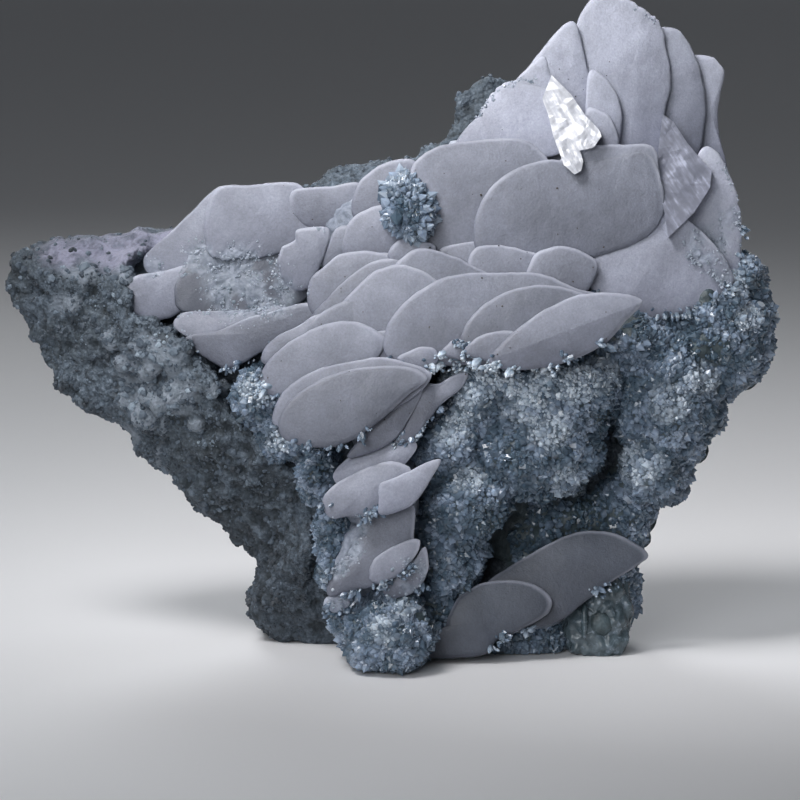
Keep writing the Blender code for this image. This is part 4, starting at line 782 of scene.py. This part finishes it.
def strew(name, shape, feet, axes, radii, lengths, sink, values, spins):
    """One mesh of many copies of a shape, each turned onto its axis and sized."""
    corners, faces = shape
    axes = axes / np.linalg.norm(axes, axis=1)[:, None]
    side = np.cross(axes, np.where(np.abs(axes[:, 2:]) < 0.9, (0, 0, 1), (1, 0, 0)))
    side /= np.linalg.norm(side, axis=1)[:, None]
    other = np.cross(axes, side)
    side, other = (side * np.cos(spins)[:, None] + other * np.sin(spins)[:, None],
                   other * np.cos(spins)[:, None] - side * np.sin(spins)[:, None])
    x, y, z = corners.T
    places = (feet[:, None] + (side * radii[:, None])[:, None] * x[None, :, None]
              + (other * radii[:, None])[:, None] * y[None, :, None]
              + (axes * lengths[:, None])[:, None] * (z - sink)[None, :, None])
    above = places[..., 2].min(axis=1) > 0
    places, values = places[above], {each: given[above] for each, given in values.items()}
    count, size = len(places), len(corners)
    loops = np.concatenate([np.array(f) for f in faces])
    totals = np.array([len(f) for f in faces])
    loops = (loops[None] + size * np.arange(count)[:, None]).ravel()
    totals = np.tile(totals, count)
    mesh = bpy.data.meshes.new(name)
    mesh.vertices.add(count * size)
    mesh.vertices.foreach_set("co", places.astype(np.float32).ravel())
    mesh.loops.add(len(loops))
    mesh.loops.foreach_set("vertex_index", loops.astype(np.int32))
    mesh.polygons.add(len(totals))
    mesh.polygons.foreach_set("loop_start", np.concatenate(([0], np.cumsum(totals)[:-1])).astype(np.int32))
    mesh.polygons.foreach_set("use_smooth", np.zeros(len(totals), bool))
    mesh.update(calc_edges=True)
    mesh.validate()
    set_values(mesh, "height", np.tile(np.clip(z, 0, 1), count))
    for key, each in values.items():
        set_values(mesh, key, np.repeat(each, size))
    piece = bpy.data.objects.new(name, mesh)
    bpy.context.scene.collection.objects.link(piece)
    return piece


def one_ball():
    bm = bmesh.new()
    bmesh.ops.create_uvsphere(bm, u_segments=12, v_segments=8, radius=1)
    return corners_and_faces(bm)


def druse_bed(name, lobes, ball_gap, ball_sizes, seed):
    """The crust under the points: lobes, with rosettes half sunk in their fronts."""
    chance = np.random.default_rng(seed)
    bm = bmesh.new()
    for lobe in lobes:
        add_lump(bm, [*lobe[:3], *np.array(lobe[3:]) - 0.8], straight_back=True)
    bed = add_piece(name, bm)
    even_skin(bed, CRUST_SKIN)
    places, normals = places_of(bed.data), normals_of(bed.data)
    places += normals * (0.8 * ripple(places, 6, seed, 2) * MM)[:, None]
    move_to(bed.data, places)
    taken = []
    for k in chance.permutation(np.flatnonzero(normals[:, 1] < 0.35))[:6000]:
        if not taken or np.linalg.norm(places[taken] - places[k], axis=1).min() > ball_gap * MM:
            taken.append(k)
    size = chance.uniform(*ball_sizes, len(taken)) * MM
    balls = strew("rosettes", one_ball(), places[taken] - 0.45 * size[:, None] * normals[taken], normals[taken],
                  size, size, 0, {}, size)
    bm = bmesh.new()
    bm.from_mesh(bed.data)
    bm.from_mesh(balls.data)
    bm.to_mesh(bed.data)
    bm.free()
    bpy.data.objects.remove(balls)
    even_skin(bed, ROSETTE_SKIN, smooths=1)
    return bed


def clip_to_pocket(bed):
    """Presses the crust's back onto the pocket's floor, and its foot onto the ground."""
    spots = to_face(places_of(bed.data))
    spots[:, 2] = np.maximum(spots[:, 2], pocket_floor(spots))
    places = on_face(spots)
    places[:, 2] = np.maximum(places[:, 2], 0)
    move_to(bed.data, places)


def behind_blades(spots, margin):
    """Which spots lie inside or behind a blade."""
    hidden = np.zeros(len(spots), bool)
    for key in BLADES:
        share, before = blade_shares(spots, key)
        hidden |= (share < 0.985) & (before < margin)
    return hidden


def scatter_on(mesh, count, keep, chance):
    """Random places on a mesh, evenly by area, with their normals, where keep says yes."""
    mesh.calc_loop_triangles()
    triangles = np.empty(len(mesh.loop_triangles) * 3, np.int32)
    mesh.loop_triangles.foreach_get("vertices", triangles)
    triangles = triangles.reshape(-1, 3)
    places, normals = places_of(mesh), normals_of(mesh)
    a, b, c = (places[triangles[:, k]] for k in range(3))
    centre = (a + b + c) / 3
    turned = np.cross(b - a, c - a)
    area = np.linalg.norm(turned, axis=1) * keep(centre, turned / np.linalg.norm(turned, axis=1)[:, None].clip(1e-12))
    picks = chance.choice(len(triangles), count, p=area / area.sum())
    u, v = chance.uniform(0, 1, (2, count))
    u, v = np.where(u + v > 1, 1 - u, u), np.where(u + v > 1, 1 - v, v)
    found = a[picks] + u[:, None] * (b - a)[picks] + v[:, None] * (c - a)[picks]
    facing = normals[triangles[picks]].mean(axis=1)
    return found, facing


look = Recipe("blue-grey quartz")
height = look.value("height")
# Each point is darker towards its base and paler at its tip: partly the quartz's own colour, partly painted shade at
# the bases, among the crowded points.
deep = look.ramp(look.noise(7, detail=2), [(0.35, (0.045, 0.064, 0.09)), (0.65, (0.085, 0.115, 0.155))])
tips = look.ramp(look.value("tone"), [
    (0.0, (0.075, 0.115, 0.155)), (0.5, (0.18, 0.24, 0.325)), (1.0, (0.44, 0.53, 0.67))])
colour = look.blend(look.ramp(height, [(0.0, grey(0.1)), (0.8, grey(1))]), deep, tips)
white = look.ramp(height, [(0.2, (0.31, 0.39, 0.48)), (0.8, (0.72, 0.82, 0.94))])
quartz = look.finish({
    "Base Color": look.blend(look.value("frost"), colour, white), "Roughness": 0.24, "IOR": 1.54,
    "Transmission Weight": 0.1, "Subsurface Weight": 0.35, "Subsurface Radius": (0.8, 0.95, 1.1),
    "Subsurface Scale": 0.0008, "Normal": look.bump(look.noise(0.35, detail=2), 0.2, 0.05)})

look = Recipe("crust between the points")
colour = look.ramp(look.noise(2.2), [(0.35, (0.022, 0.034, 0.038)), (0.7, (0.07, 0.10, 0.115))])
crust_stone = look.finish({
    "Base Color": look.blend(look.value("frost"), colour, (0.17, 0.22, 0.28)), "Roughness": 0.5,
    "Normal": look.bump(look.noise(0.6), 0.8, 0.3)})

crust = druse_bed("druse_bed", CRUST_LOBES, 4.0, (1.5, 3.2), 21)
clip_to_pocket(crust)
crust.data.materials.clear()
crust.data.materials.append(crust_stone)
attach(crust, "root")
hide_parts("druse_crust")

point, crumb = one_point(), one_crumb()
FROST = [
    (2, 50.5, 4, 1), (8, 50, 5, 1), (14, 49.5, 5.5, 1), (20, 49, 5, 1), (26, 48, 4.5, 0.9), (31, 50, 4, 0.6),
    (17, 45.5, 6, 0.6), (6, 45, 4, 0.6), (-31, 47, 3.5, 0.8), (-27, 38, 2.5, 0.6), (3.6, 40, 4, 0.6),
    (21.6, 40, 4.6, 0.65), (7, 31, 3.5, 0.55), (38, 34, 5, 0.4), (25, 30.5, 4, 0.35), (43, 45, 4.5, 0.4),
    (49, 49, 4, 0.45), (44, 64.5, 4, 0.6), (-8, 4, 3, 0.5), (-5, 8, 2.5, 0.4), (55, 66, 3, 0.5),
    (57, 60, 3, 0.4),
]
# Patches of the druse painted as if in shadow, at its bottom and right.
SHADED_DRUSE_PATCHES = [
    (31.5, 42, 2.6, 1), (32, 37, 3, 1), (32.5, 33, 3.2, 1), (36, 59, 3, 0.8), (50.5, 54.5, 4, 1), (15, 23, 7, 0.9),
    (24, 24.5, 6, 1), (30, 25, 5, 0.9), (0, 7, 3.2, 0.9),
]


set_values(crust.data, "frost", 0.9 * blobs(to_face(places_of(crust.data)), FROST))


def front_only(centre, facing):
    spots = to_face(centre)
    covered = np.hypot((spots[:, 0] - 31) / 4, (spots[:, 1] - 6.3) / 5.5) < 1
    return (facing[:, 1] < 0.25) * ~behind_blades(spots, -0.3) * (spots[:, 2] > pocket_floor(spots) + 0.6) * ~covered


chance = np.random.default_rng(77)
feet, facing = scatter_on(crust.data, CRUST_POINTS, front_only, chance)
spots = to_face(feet)
wild = chance.normal(0, 0.58, (len(feet), 3))
axes = facing + wild
patchy = 0.5 + 0.9 * ripple(feet, 3.2, 14, 2)
frost = np.clip(1.3 * blobs(spots, FROST) * (patchy + chance.uniform(-0.2, 0.9, len(feet))), 0, 1)
# painted shade: in these patches fewer points stand, so more of the dark crust shows, and their tips are darker
dark = blobs(spots, SHADED_DRUSE_PATCHES)
keep = chance.uniform(0, 1, len(feet)) > 0.75 * dark
size = chance.lognormal(0, 0.34, len(feet)) * (1 - 0.3 * frost)
radii = np.clip(0.42 * size, 0.18, 0.9) * MM
lengths = np.clip(1.05 * size * chance.uniform(0.8, 1.35, len(feet)), 0.6, 2.6) * MM
clouds = smooth_step(ripple(feet, 3.4, 2, 2), -0.35, 0.5)
tone = np.clip(0.75 * clouds * chance.uniform(0.5, 1.1, len(feet)) + 0.25 * chance.beta(1.2, 3, len(feet))
               - 0.4 * dark, 0, 1)
spins = chance.uniform(0, math.tau, len(feet))
keep &= ~behind_blades(to_face(feet + 0.7 * lengths[:, None] * axes), -0.2)
order = np.flatnonzero(keep)
strips = np.array_split(order[np.argsort(spots[order, 0])], math.ceil(len(order) / POINTS_PER_PIECE))
for k, strip in enumerate(strips):
    points = strew(f"druse_points_{k + 1}", point, feet[strip], axes[strip], radii[strip], lengths[strip], 0.42,
                   {"tone": tone[strip], "frost": frost[strip]}, spins[strip])
    points.data.materials.append(quartz)
    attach(points, "root")
    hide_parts("druse_crust")

# The fringe: the same quartz points along the blades' lower rims, where the druse went on growing up over
# them. They stand singly and in small clusters, rooted on the rim.
FRINGED = {
    "foot_back": 5, "foot_front": 2.5, "front_right": 3, "front_next": 4, "front_wide": 3, "front_next_small": 4,
    "lowest": 1.5, "west": 2, "left_front": 1.5, "stair_slab": 3, "stair_slab_low": 4, "stair_second": 3.5,
    "stair_slab_top": 2, "ridge_right": 2, "ridge_right_front": 2, "stair_shard": 5, "top_low": 5,
    "top_facet": 3, "stair_lump": 3, "lowest_right": 4, "front_wide_scale": 4, "front_next_scale": 4,
}
feet, axes = [], []
for key, thickly in FRINGED.items():
    out, lean, swing, thick, _, rim = BLADES[key]
    middle = blade_middle(rim)
    edge = round_loop(rim, chance.uniform(0, 1, 400)) - middle
    edge = edge[edge[:, 1] < -0.25 * np.linalg.norm(edge, axis=1)]
    edge = edge[ripple(on_face(np.column_stack((edge + middle, np.full(len(edge), out)))), 3.5, 8) > -0.05]
    edge = edge[:int(thickly * np.ptp(edge[:, 0]) * 1.4)]
    flat = edge * (1 + chance.normal(0.15, 0.8, (len(edge), 1)) / np.linalg.norm(edge, axis=1)[:, None])
    spots = np.column_stack((flat + middle, out + lean * flat[:, 1] + swing * flat[:, 0] + thick / 2 - 0.4
                             - 1.2 * chance.uniform(0, 1, len(flat)) ** 2))
    feet.append(on_face(spots))
    outward = np.column_stack((edge[:, 0], np.full(len(edge), -6.0), edge[:, 1]))
    axes.append(outward / np.linalg.norm(outward, axis=1)[:, None] + chance.normal(0, 0.45, (len(edge), 3)))
feet, axes = np.concatenate(feet), np.concatenate(axes)
axes, feet = axes[feet[:, 2] > 2.5 * MM], feet[feet[:, 2] > 2.5 * MM]
spots = to_face(feet)
size = chance.lognormal(-0.1, 0.35, len(feet))
frost = np.clip(blobs(spots, FROST) + chance.uniform(-0.5, 0.6, len(feet)), 0, 1)
fringe = strew("druse_fringe", point, feet, axes, 0.34 * size * MM, 1.15 * size * MM, 0.35,
               {"tone": chance.beta(1.8, 2, len(feet)), "frost": frost}, chance.uniform(0, 6, len(feet)))
fringe.data.materials.append(quartz)
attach(fringe, "root")
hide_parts("druse_crust")

# The glassy lump at the foot: dark grey-green chalcedony beside the lower blades, faintly ringed, with a
# pale flake standing on it.
bm = bmesh.new()
layer = bm.verts.layers.float.new("ring")
verts = bmesh.ops.create_uvsphere(bm, u_segments=96, v_segments=60, radius=1)["verts"]
ball = np.array([v.co for v in verts])
ball = np.sign(ball) * np.abs(ball) ** 0.85
places = on_face(ball * (6.3, 8.8, 4.2) + (30, 6.6, 2))
away = np.hypot(to_face(places)[:, 0] - 32.6, to_face(places)[:, 1] - 7.2)
rings = np.sin(5.2 * away + 2 * ripple(places, 4, 3)) * smooth_step(-away, -4.2, -2)
for vert, spot, place, ring, bump in zip(verts, ball, places, rings, ripple(places, 2.6, 7, 3)):
    vert.co = place
    vert.co += Vector((spot[0], -1 if spot[2] > 0 else 1, spot[1])) * (0.8 * bump + 0.07 * ring) * MM
    vert.co.z = max(vert.co.z, 0)
    vert[layer] = 0.5 + 0.5 * ring
add_lump(bm, (27.8, 5.6, 6.4, 0.7, 3.4, 1.2), around=16, bands=10)
lump = add_piece("glassy_lump", bm)
look = Recipe("ringed chalcedony")
colour = look.ramp(look.noise(1.8, detail=5, rough=0.65, warp=0.8), [
    (0.35, (0.022, 0.034, 0.04)), (0.55, (0.06, 0.085, 0.10)), (0.72, (0.22, 0.27, 0.33))])
colour = look.blend(look.maths("MULTIPLY", look.value("ring"), 0.25), colour, (0.20, 0.25, 0.29))
lump.data.materials.append(look.finish({
    "Base Color": colour, "Roughness": 0.22, "Normal": look.bump(look.noise(0.7, detail=4), 0.6, 0.2)}))
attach(lump, "root")
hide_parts("druse_crust")

# The tuft: a small hedgehog of the same quartz points, longer and glassier, that sits on the upper blades.
TUFT_MIDDLE, TUFT_RADIUS, TUFT_POINTS = (-4, 79.5), 5, 1500
TUFT_LOBES = [
    (-4.6, 82, 12, 4, 4.2, 5), (-2.2, 79, 12.5, 3.4, 4.6, 5.5), (-5.8, 78.6, 12.5, 3, 3.6, 5),
    (-2.6, 75.6, 13, 3, 2.6, 4.5),
]
tuft = druse_bed("druse_tuft_bed", TUFT_LOBES, 2.4, (0.9, 1.4), 8)
tuft.data.materials.clear()
tuft.data.materials.append(crust_stone)
feet, facing = scatter_on(tuft.data, TUFT_POINTS, lambda centre, facing: facing[:, 1] < 0.5, chance)
spots = to_face(feet)
from_middle = spots[:, :2] - TUFT_MIDDLE
outward = np.column_stack((from_middle[:, 0], np.zeros(len(feet)), from_middle[:, 1])) * 0.12
axes = facing + outward + chance.normal(0, 0.7, (len(feet), 3))
size = chance.lognormal(-0.05, 0.4, len(feet))
rim_share = np.hypot(*from_middle.T) / TUFT_RADIUS
frost = np.clip(smooth_step(rim_share, 0.6, 1.1) * chance.uniform(-0.2, 0.55, len(feet)), 0, 1)
points = strew("druse_tuft_points", point, feet, axes, 0.4 * size * MM, 1.3 * size * MM, 0.35,
               {"tone": np.clip(chance.beta(1.6, 2, len(feet)) - 0.35 * (rim_share < 0.5), 0, 1), "frost": frost},
               chance.uniform(0, math.tau, len(feet)))
points.data.materials.append(quartz)
for piece in (tuft, points):
    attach(piece, "root")
    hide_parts("druse_tuft")

# Grains on the rock: crumbs of pale zeolite and broken basalt that stick to its skin all over, thickest on
# the bare left wing.
ROCK_GRAINS = 15000
look = Recipe("rock crumbs")
colour = look.ramp(look.value("tone"), [
    (0.0, (0.03, 0.038, 0.048)), (0.45, (0.078, 0.102, 0.132)), (0.8, (0.165, 0.208, 0.255)),
    (1.0, (0.32, 0.385, 0.45))])
crumb_stone = look.finish({
    "Base Color": colour, "Roughness": 0.6, "Normal": look.bump(look.noise(0.3, detail=2), 0.5, 0.1)})


def bare_rock(centre, facing):
    spots = to_face(centre)
    left = pocket_left(spots)
    hidden = (spots[:, 0] > left) & (spots[:, 2] > -9) & (facing[:, 1] < 0)
    smooth = np.maximum(blobs(spots, LILAC_LEDGE), blobs(spots, [(*each[:2], 1.3 * each[2], 1) for each in KNOBS]))
    return (1 - 0.99 * hidden) * (1 - 0.9 * smooth) * (centre[:, 2] > 0.6 * MM) * (1 + (spots[:, 0] < left))


feet, facing = scatter_on(rock.data, ROCK_GRAINS, bare_rock, chance)
spots = to_face(feet)
size = chance.lognormal(-0.45, 0.5, len(feet)).clip(0.25, 2.1) * (1 + 0.5 * blobs(spots, ROCK_PALE))
patch = ripple(feet, 2.6, 12, 3)
# painted shade: the crumbs are darker towards the rock's foot; they are also darker at the far left end
tone = np.clip(0.38 + 0.5 * patch + chance.normal(0, 0.08, len(feet)) + 0.3 * blobs(spots, ROCK_PALE)
               - 0.3 * lowness(spots) - 0.1 * (spots[:, 0] < -60), 0, 1)
axes = facing + chance.normal(0, 0.5, (len(feet), 3))
for k, half in enumerate(np.array_split(np.argsort(spots[:, 0]), 2)):
    crumbs = strew(f"rock_crumbs_{k + 1}", crumb, feet[half], axes[half], 0.42 * size[half] * MM,
                   0.34 * size[half] * MM, 0, {"tone": tone[half]}, chance.uniform(0, 6, len(half)))
    crumbs.data.materials.append(crumb_stone)
    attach(crumbs, "root")
    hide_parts("matrix")

# The clear crystals: two broken, water-clear quartz cores that show where the frosted skin has chipped off,
# one high up whose cleaved steps catch the light, and one on the right edge, full of slanting cracks.
# node, thickness, how far out the first corner lies, its rise going across and up, tint, clearness, slant of the
# cracks in degrees, and the corners (across, up)
CLEAR = {
    # the upper crystal's pale tint is partly a painted highlight, standing in for the bright light its broken face
    # throws back
    "clear_glint_upper": ("clear_crystal_upper", 4.5, 9, (0.24, -0.31), (0.58, 0.6, 0.66), 0.25, 60, [
        (21.9, 103.8), (20.2, 99.5), (21.3, 96.6), (22.2, 92.8), (24.1, 87.6), (26, 85.9), (27.2, 86.5), (27.6, 88.2),
        (27, 90.2), (29.5, 90.8), (30.9, 92.8), (30.4, 94), (27.9, 96.6), (25.4, 100.3)]),
    "clear_glint_right": ("clear_crystal_right", 6, 14.2, (-0.3, -0.32), (0.43, 0.45, 0.55), 0.4, 56, [
        (42.9, 74.6), (42.2, 79), (41, 84.5), (41.1, 90.5), (41.9, 96.8), (43.8, 95.4), (46.3, 91.6), (50.7, 86.4),
        (50.4, 83.5), (47.5, 79)]),
}
for name, (node, deep, front_out, (rise_across, rise_up), tint, clearness, turn, corners) in CLEAR.items():
    bm = bmesh.new()
    face = bm.faces.new([bm.verts.new((across, up, front_out - deep)) for across, up in corners])
    made = bmesh.ops.extrude_face_region(bm, geom=[face])["geom"]
    for vert in (v for v in made if isinstance(v, bmesh.types.BMVert)):
        vert.co.z = front_out
    bmesh.ops.triangulate(bm, faces=[f for f in bm.faces if len(f.verts) > 4])
    bmesh.ops.subdivide_edges(bm, edges=bm.edges[:], cuts=5, use_grid_fill=True)
    bmesh.ops.triangulate(bm, faces=bm.faces[:])
    for vert in bm.verts:
        front = vert.co.z > front_out - 0.01
        vert.co.z += (vert.co.x - corners[0][0]) * rise_across + (vert.co.y - corners[0][1]) * rise_up
        if front:
            vert.co.z += 0.5 * noise.noise(vert.co * 0.35) + 0.13 * noise.noise(vert.co * 0.9)
            vert.co.z += 0.16 * abs(noise.noise(Vector((vert.co.x * 0.9 + vert.co.y * 0.6, 3, 1))))
    put_on_face(bm.verts, [v.co[:] for v in bm.verts])
    crystal = add_piece(name, bm, smooth=False)
    look = Recipe(name.replace("_", " "))
    slant = look.nodes.new("ShaderNodeMapping")
    slant.vector_type = "TEXTURE"
    slant.inputs["Rotation"].default_value = (0, math.radians(turn), 0)
    slant.inputs["Scale"].default_value = (4 * MM, 4 * MM, 0.6 * MM)
    look.feed(slant.inputs["Vector"], look.nodes.new("ShaderNodeTexCoord").outputs["Object"])
    streaks = look.nodes.new("ShaderNodeTexNoise")
    streaks.inputs["Scale"].default_value = 1
    streaks.inputs["Detail"].default_value = 3
    look.feed(streaks.inputs["Vector"], slant.outputs["Vector"])
    cracks = streaks.outputs["Fac"]
    cloudy = look.maths("ADD", look.maths("MULTIPLY", cracks, 0.5), look.maths("MULTIPLY", look.noise(2), 0.5))
    colour = look.ramp(cloudy, [(0.42, tuple(0.72 * each for each in tint)), (0.55, tint),
                                (0.66, tuple(min(0.98, 1.8 * each) for each in tint))])
    crystal.data.materials.append(look.finish({
        "Base Color": colour, "Transmission Weight": clearness, "Roughness": 0.3, "IOR": 1.54,
        "Normal": look.bump(cracks, 0.15, 0.08)}))
    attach(crystal, "root")
    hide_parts(node)

# Dark specks: tiny grains of iron and clay minerals that settled on the blades' faces while these grew,
# and are half sunk in them.
NO_BLADE = -99.0
SPECKS = 80


def front_of(spots):
    """How far out the foremost blade's face lies at (across, up) spots, or nothing where there is none."""
    spots = np.column_stack((spots, np.zeros(len(spots))))
    found = np.full(len(spots), NO_BLADE)
    for key in BLADES:
        share, before = blade_shares(spots, key)
        found = np.maximum(found, np.where(share < 0.97, -before, NO_BLADE))
    return found


look = Recipe("dark speck")
colour = look.ramp(look.noise(0.6), [(0.3, (0.02, 0.016, 0.014)), (0.7, (0.1, 0.08, 0.07))])
speck_stone = look.finish({"Base Color": colour, "Roughness": 0.7})
chance = np.random.default_rng(31)
across_up = np.concatenate((chance.uniform((-30, 40), (33, 110), (150, 2)), chance.normal((-4.5, 62.5), 1.3, (14, 2)),
                            chance.normal((-6, 58), (3, 4), (10, 2)), chance.normal((34, 73), 2.2, (10, 2))))
outs = front_of(across_up)
found = outs > NO_BLADE
spots = np.column_stack((across_up, outs + 0.02))[found][:SPECKS]
size = chance.lognormal(-2.15, 0.35, len(spots))
specks = strew("dark_specks", crumb, on_face(spots), np.tile((0, -1, 0.2), (len(spots), 1)), size * MM, size * MM, 0,
               {}, chance.uniform(0, 6, len(spots)))
specks.data.materials.append(speck_stone)
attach(specks, "root")
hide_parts("blades_main")

# Sugary chips: where the frosted skin has broken away, the break is covered with small bluish-white flakes
# and grains of the same quartz, thickest along the ragged edges.
look = Recipe("sugary break")
colour = look.ramp(look.value("tone"), [(0, (0.20, 0.25, 0.30)), (1, (0.44, 0.48, 0.57))])
chip_stone = look.finish({
    "Base Color": colour, "Roughness": 0.3, "Transmission Weight": 0.15,
    "Normal": look.bump(look.noise(0.3), 0.3, 0.06)})
RAGGED_LINES = [[(-45, 72), (-42.5, 74.5), (-40.5, 72), (-38, 71.3), (-30, 70.5), (-25, 69.5), (-22, 65)],
                [(-45.5, 67), (-43.5, 70)], [(-45, 60.5), (-38, 61.3), (-26, 62.3)], [(-22.5, 76), (-19, 76.3)],
                [(-19, 12.5), (-17, 16), (-14, 22), (-12.5, 25)], [(5, 92.5), (9.5, 98.5), (15.5, 103), (19, 103)],
                [(55.6, 66), (56, 74), (55.4, 82), (52, 89)], [(46.5, 71), (52, 67), (54.5, 65)],
                [(-16, 9), (-19, 8)], [(36, 116.5), (41, 113.5)], [(-45.7, 58), (-43, 56.5)]]
chance = np.random.default_rng(43)
across_up = [np.array((across, up)) + radius * np.sqrt(chance.uniform(0, 1, (int(7 * radius**2), 1)))
             * np.column_stack((np.cos(turns), np.sin(turns)))
             for across, up, radius, amount in BROKEN for turns in [chance.uniform(0, 6.28, int(7 * radius**2))]]
for line in RAGGED_LINES:
    for start, end in zip(np.array(line, float), np.array(line[1:], float)):
        count = int(12 * np.linalg.norm(end - start))
        on_line = start + chance.uniform(0, 1, (count, 1)) * (end - start)
        across_up.append(on_line + chance.normal(0, 0.35, (count, 2)))
across_up = np.concatenate(across_up)
outs = front_of(across_up)
kept = (outs > NO_BLADE) & (ripple(on_face(np.column_stack((across_up, outs))), 1.6, 2, 2) > -0.25)
spots = np.column_stack((across_up, outs - 0.16))[kept]
size = chance.lognormal(-1.75, 0.45, len(spots)).clip(0.08, 0.5)
tilt = np.array((0, -1, 0.2)) + chance.normal(0, 0.5, (len(spots), 3))
chips = strew("sugary_chips", crumb, on_face(spots), tilt, size * MM, 0.8 * size * MM, 0,
              {"tone": chance.beta(2, 1.6, len(spots))}, chance.uniform(0, 6, len(spots)))
chips.data.materials.append(chip_stone)
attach(chips, "root")
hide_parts("blades_main")

# The studio: a pale sweep of paper, one large soft light high on the left, a weak fill and a low rim light,
# and a long-lens camera square on to the open face.
bm = bmesh.new()
profile = [(-1.8, 0), (1.6, 0)] + [(1.6 + 0.6 * math.sin(a), 0.6 - 0.6 * math.cos(a))
                                   for a in np.radians(range(10, 91, 10))] + [(2.2, 3)]
line = [bm.verts.new((-2.5, y, z)) for y, z in profile]
edges = [bm.edges.new(pair) for pair in zip(line, line[1:])]
made = bmesh.ops.extrude_edge_only(bm, edges=edges)["geom"]
bmesh.ops.translate(bm, verts=[v for v in made if isinstance(v, bmesh.types.BMVert)], vec=(5, 0, 0))
paper = add_piece("paper_sweep", bm)
paper.data.materials.append(Recipe("pale paper").finish({"Base Color": (0.78, 0.78, 0.79), "Roughness": 0.6}))


def soft_light(name, place, target, size, power, tint, spread=math.pi):
    data = bpy.data.lights.new(name, "AREA")
    data.shape = "DISK"
    data.size = size
    data.energy = power
    data.spread = spread
    data.color = tint
    light = bpy.data.objects.new(name, data)
    light.location = place
    light.rotation_euler = (Vector(target) - Vector(place)).to_track_quat("-Z", "Y").to_euler()
    bpy.context.scene.collection.objects.link(light)


soft_light("key", (-0.15, -0.16, 0.36), (0.0, 0.01, 0.105), 0.17, 0.17, (1.0, 0.99, 1.0), math.radians(55))
soft_light("fill", (-0.25, -0.8, 0.3), (0, 0, 0.06), 0.5, 0.5, (0.95, 0.97, 1.0), math.radians(60))
soft_light("rim", (0.3, 0.25, 0.4), (0, 0, 0.06), 0.25, 0.3, (0.93, 0.96, 1.0))
soft_light("back", (-0.3, 0.9, 0.6), (0, 0, 0.05), 0.5, 0.4, (0.95, 0.97, 1.0), math.radians(50))
soft_light("floor glow", (0, -0.5, 1.5), (0, -0.2, 0), 1.2, 0.8, (1, 1, 1))
world = bpy.data.worlds.new("studio air")
world.use_nodes = True
world.node_tree.nodes["Background"].inputs["Color"].default_value = (0.8, 0.85, 0.92, 1)
world.node_tree.nodes["Background"].inputs["Strength"].default_value = 0.08
bpy.context.scene.world = world

lens = bpy.data.cameras.new("camera")
lens.lens = 250
lens.sensor_width = 36
camera = bpy.data.objects.new("camera", lens)
bpy.context.scene.collection.objects.link(camera)
target = Vector(on_face((EYE_ACROSS, EYE_UP, 0))[0])
camera.location = target + Vector((0, -math.cos(FACE_LEAN), math.sin(FACE_LEAN)))
camera.rotation_euler = (target - camera.location).to_track_quat("-Z", "Y").to_euler()
bpy.context.scene.camera = camera
bpy.context.scene.view_settings.view_transform = "Standard"
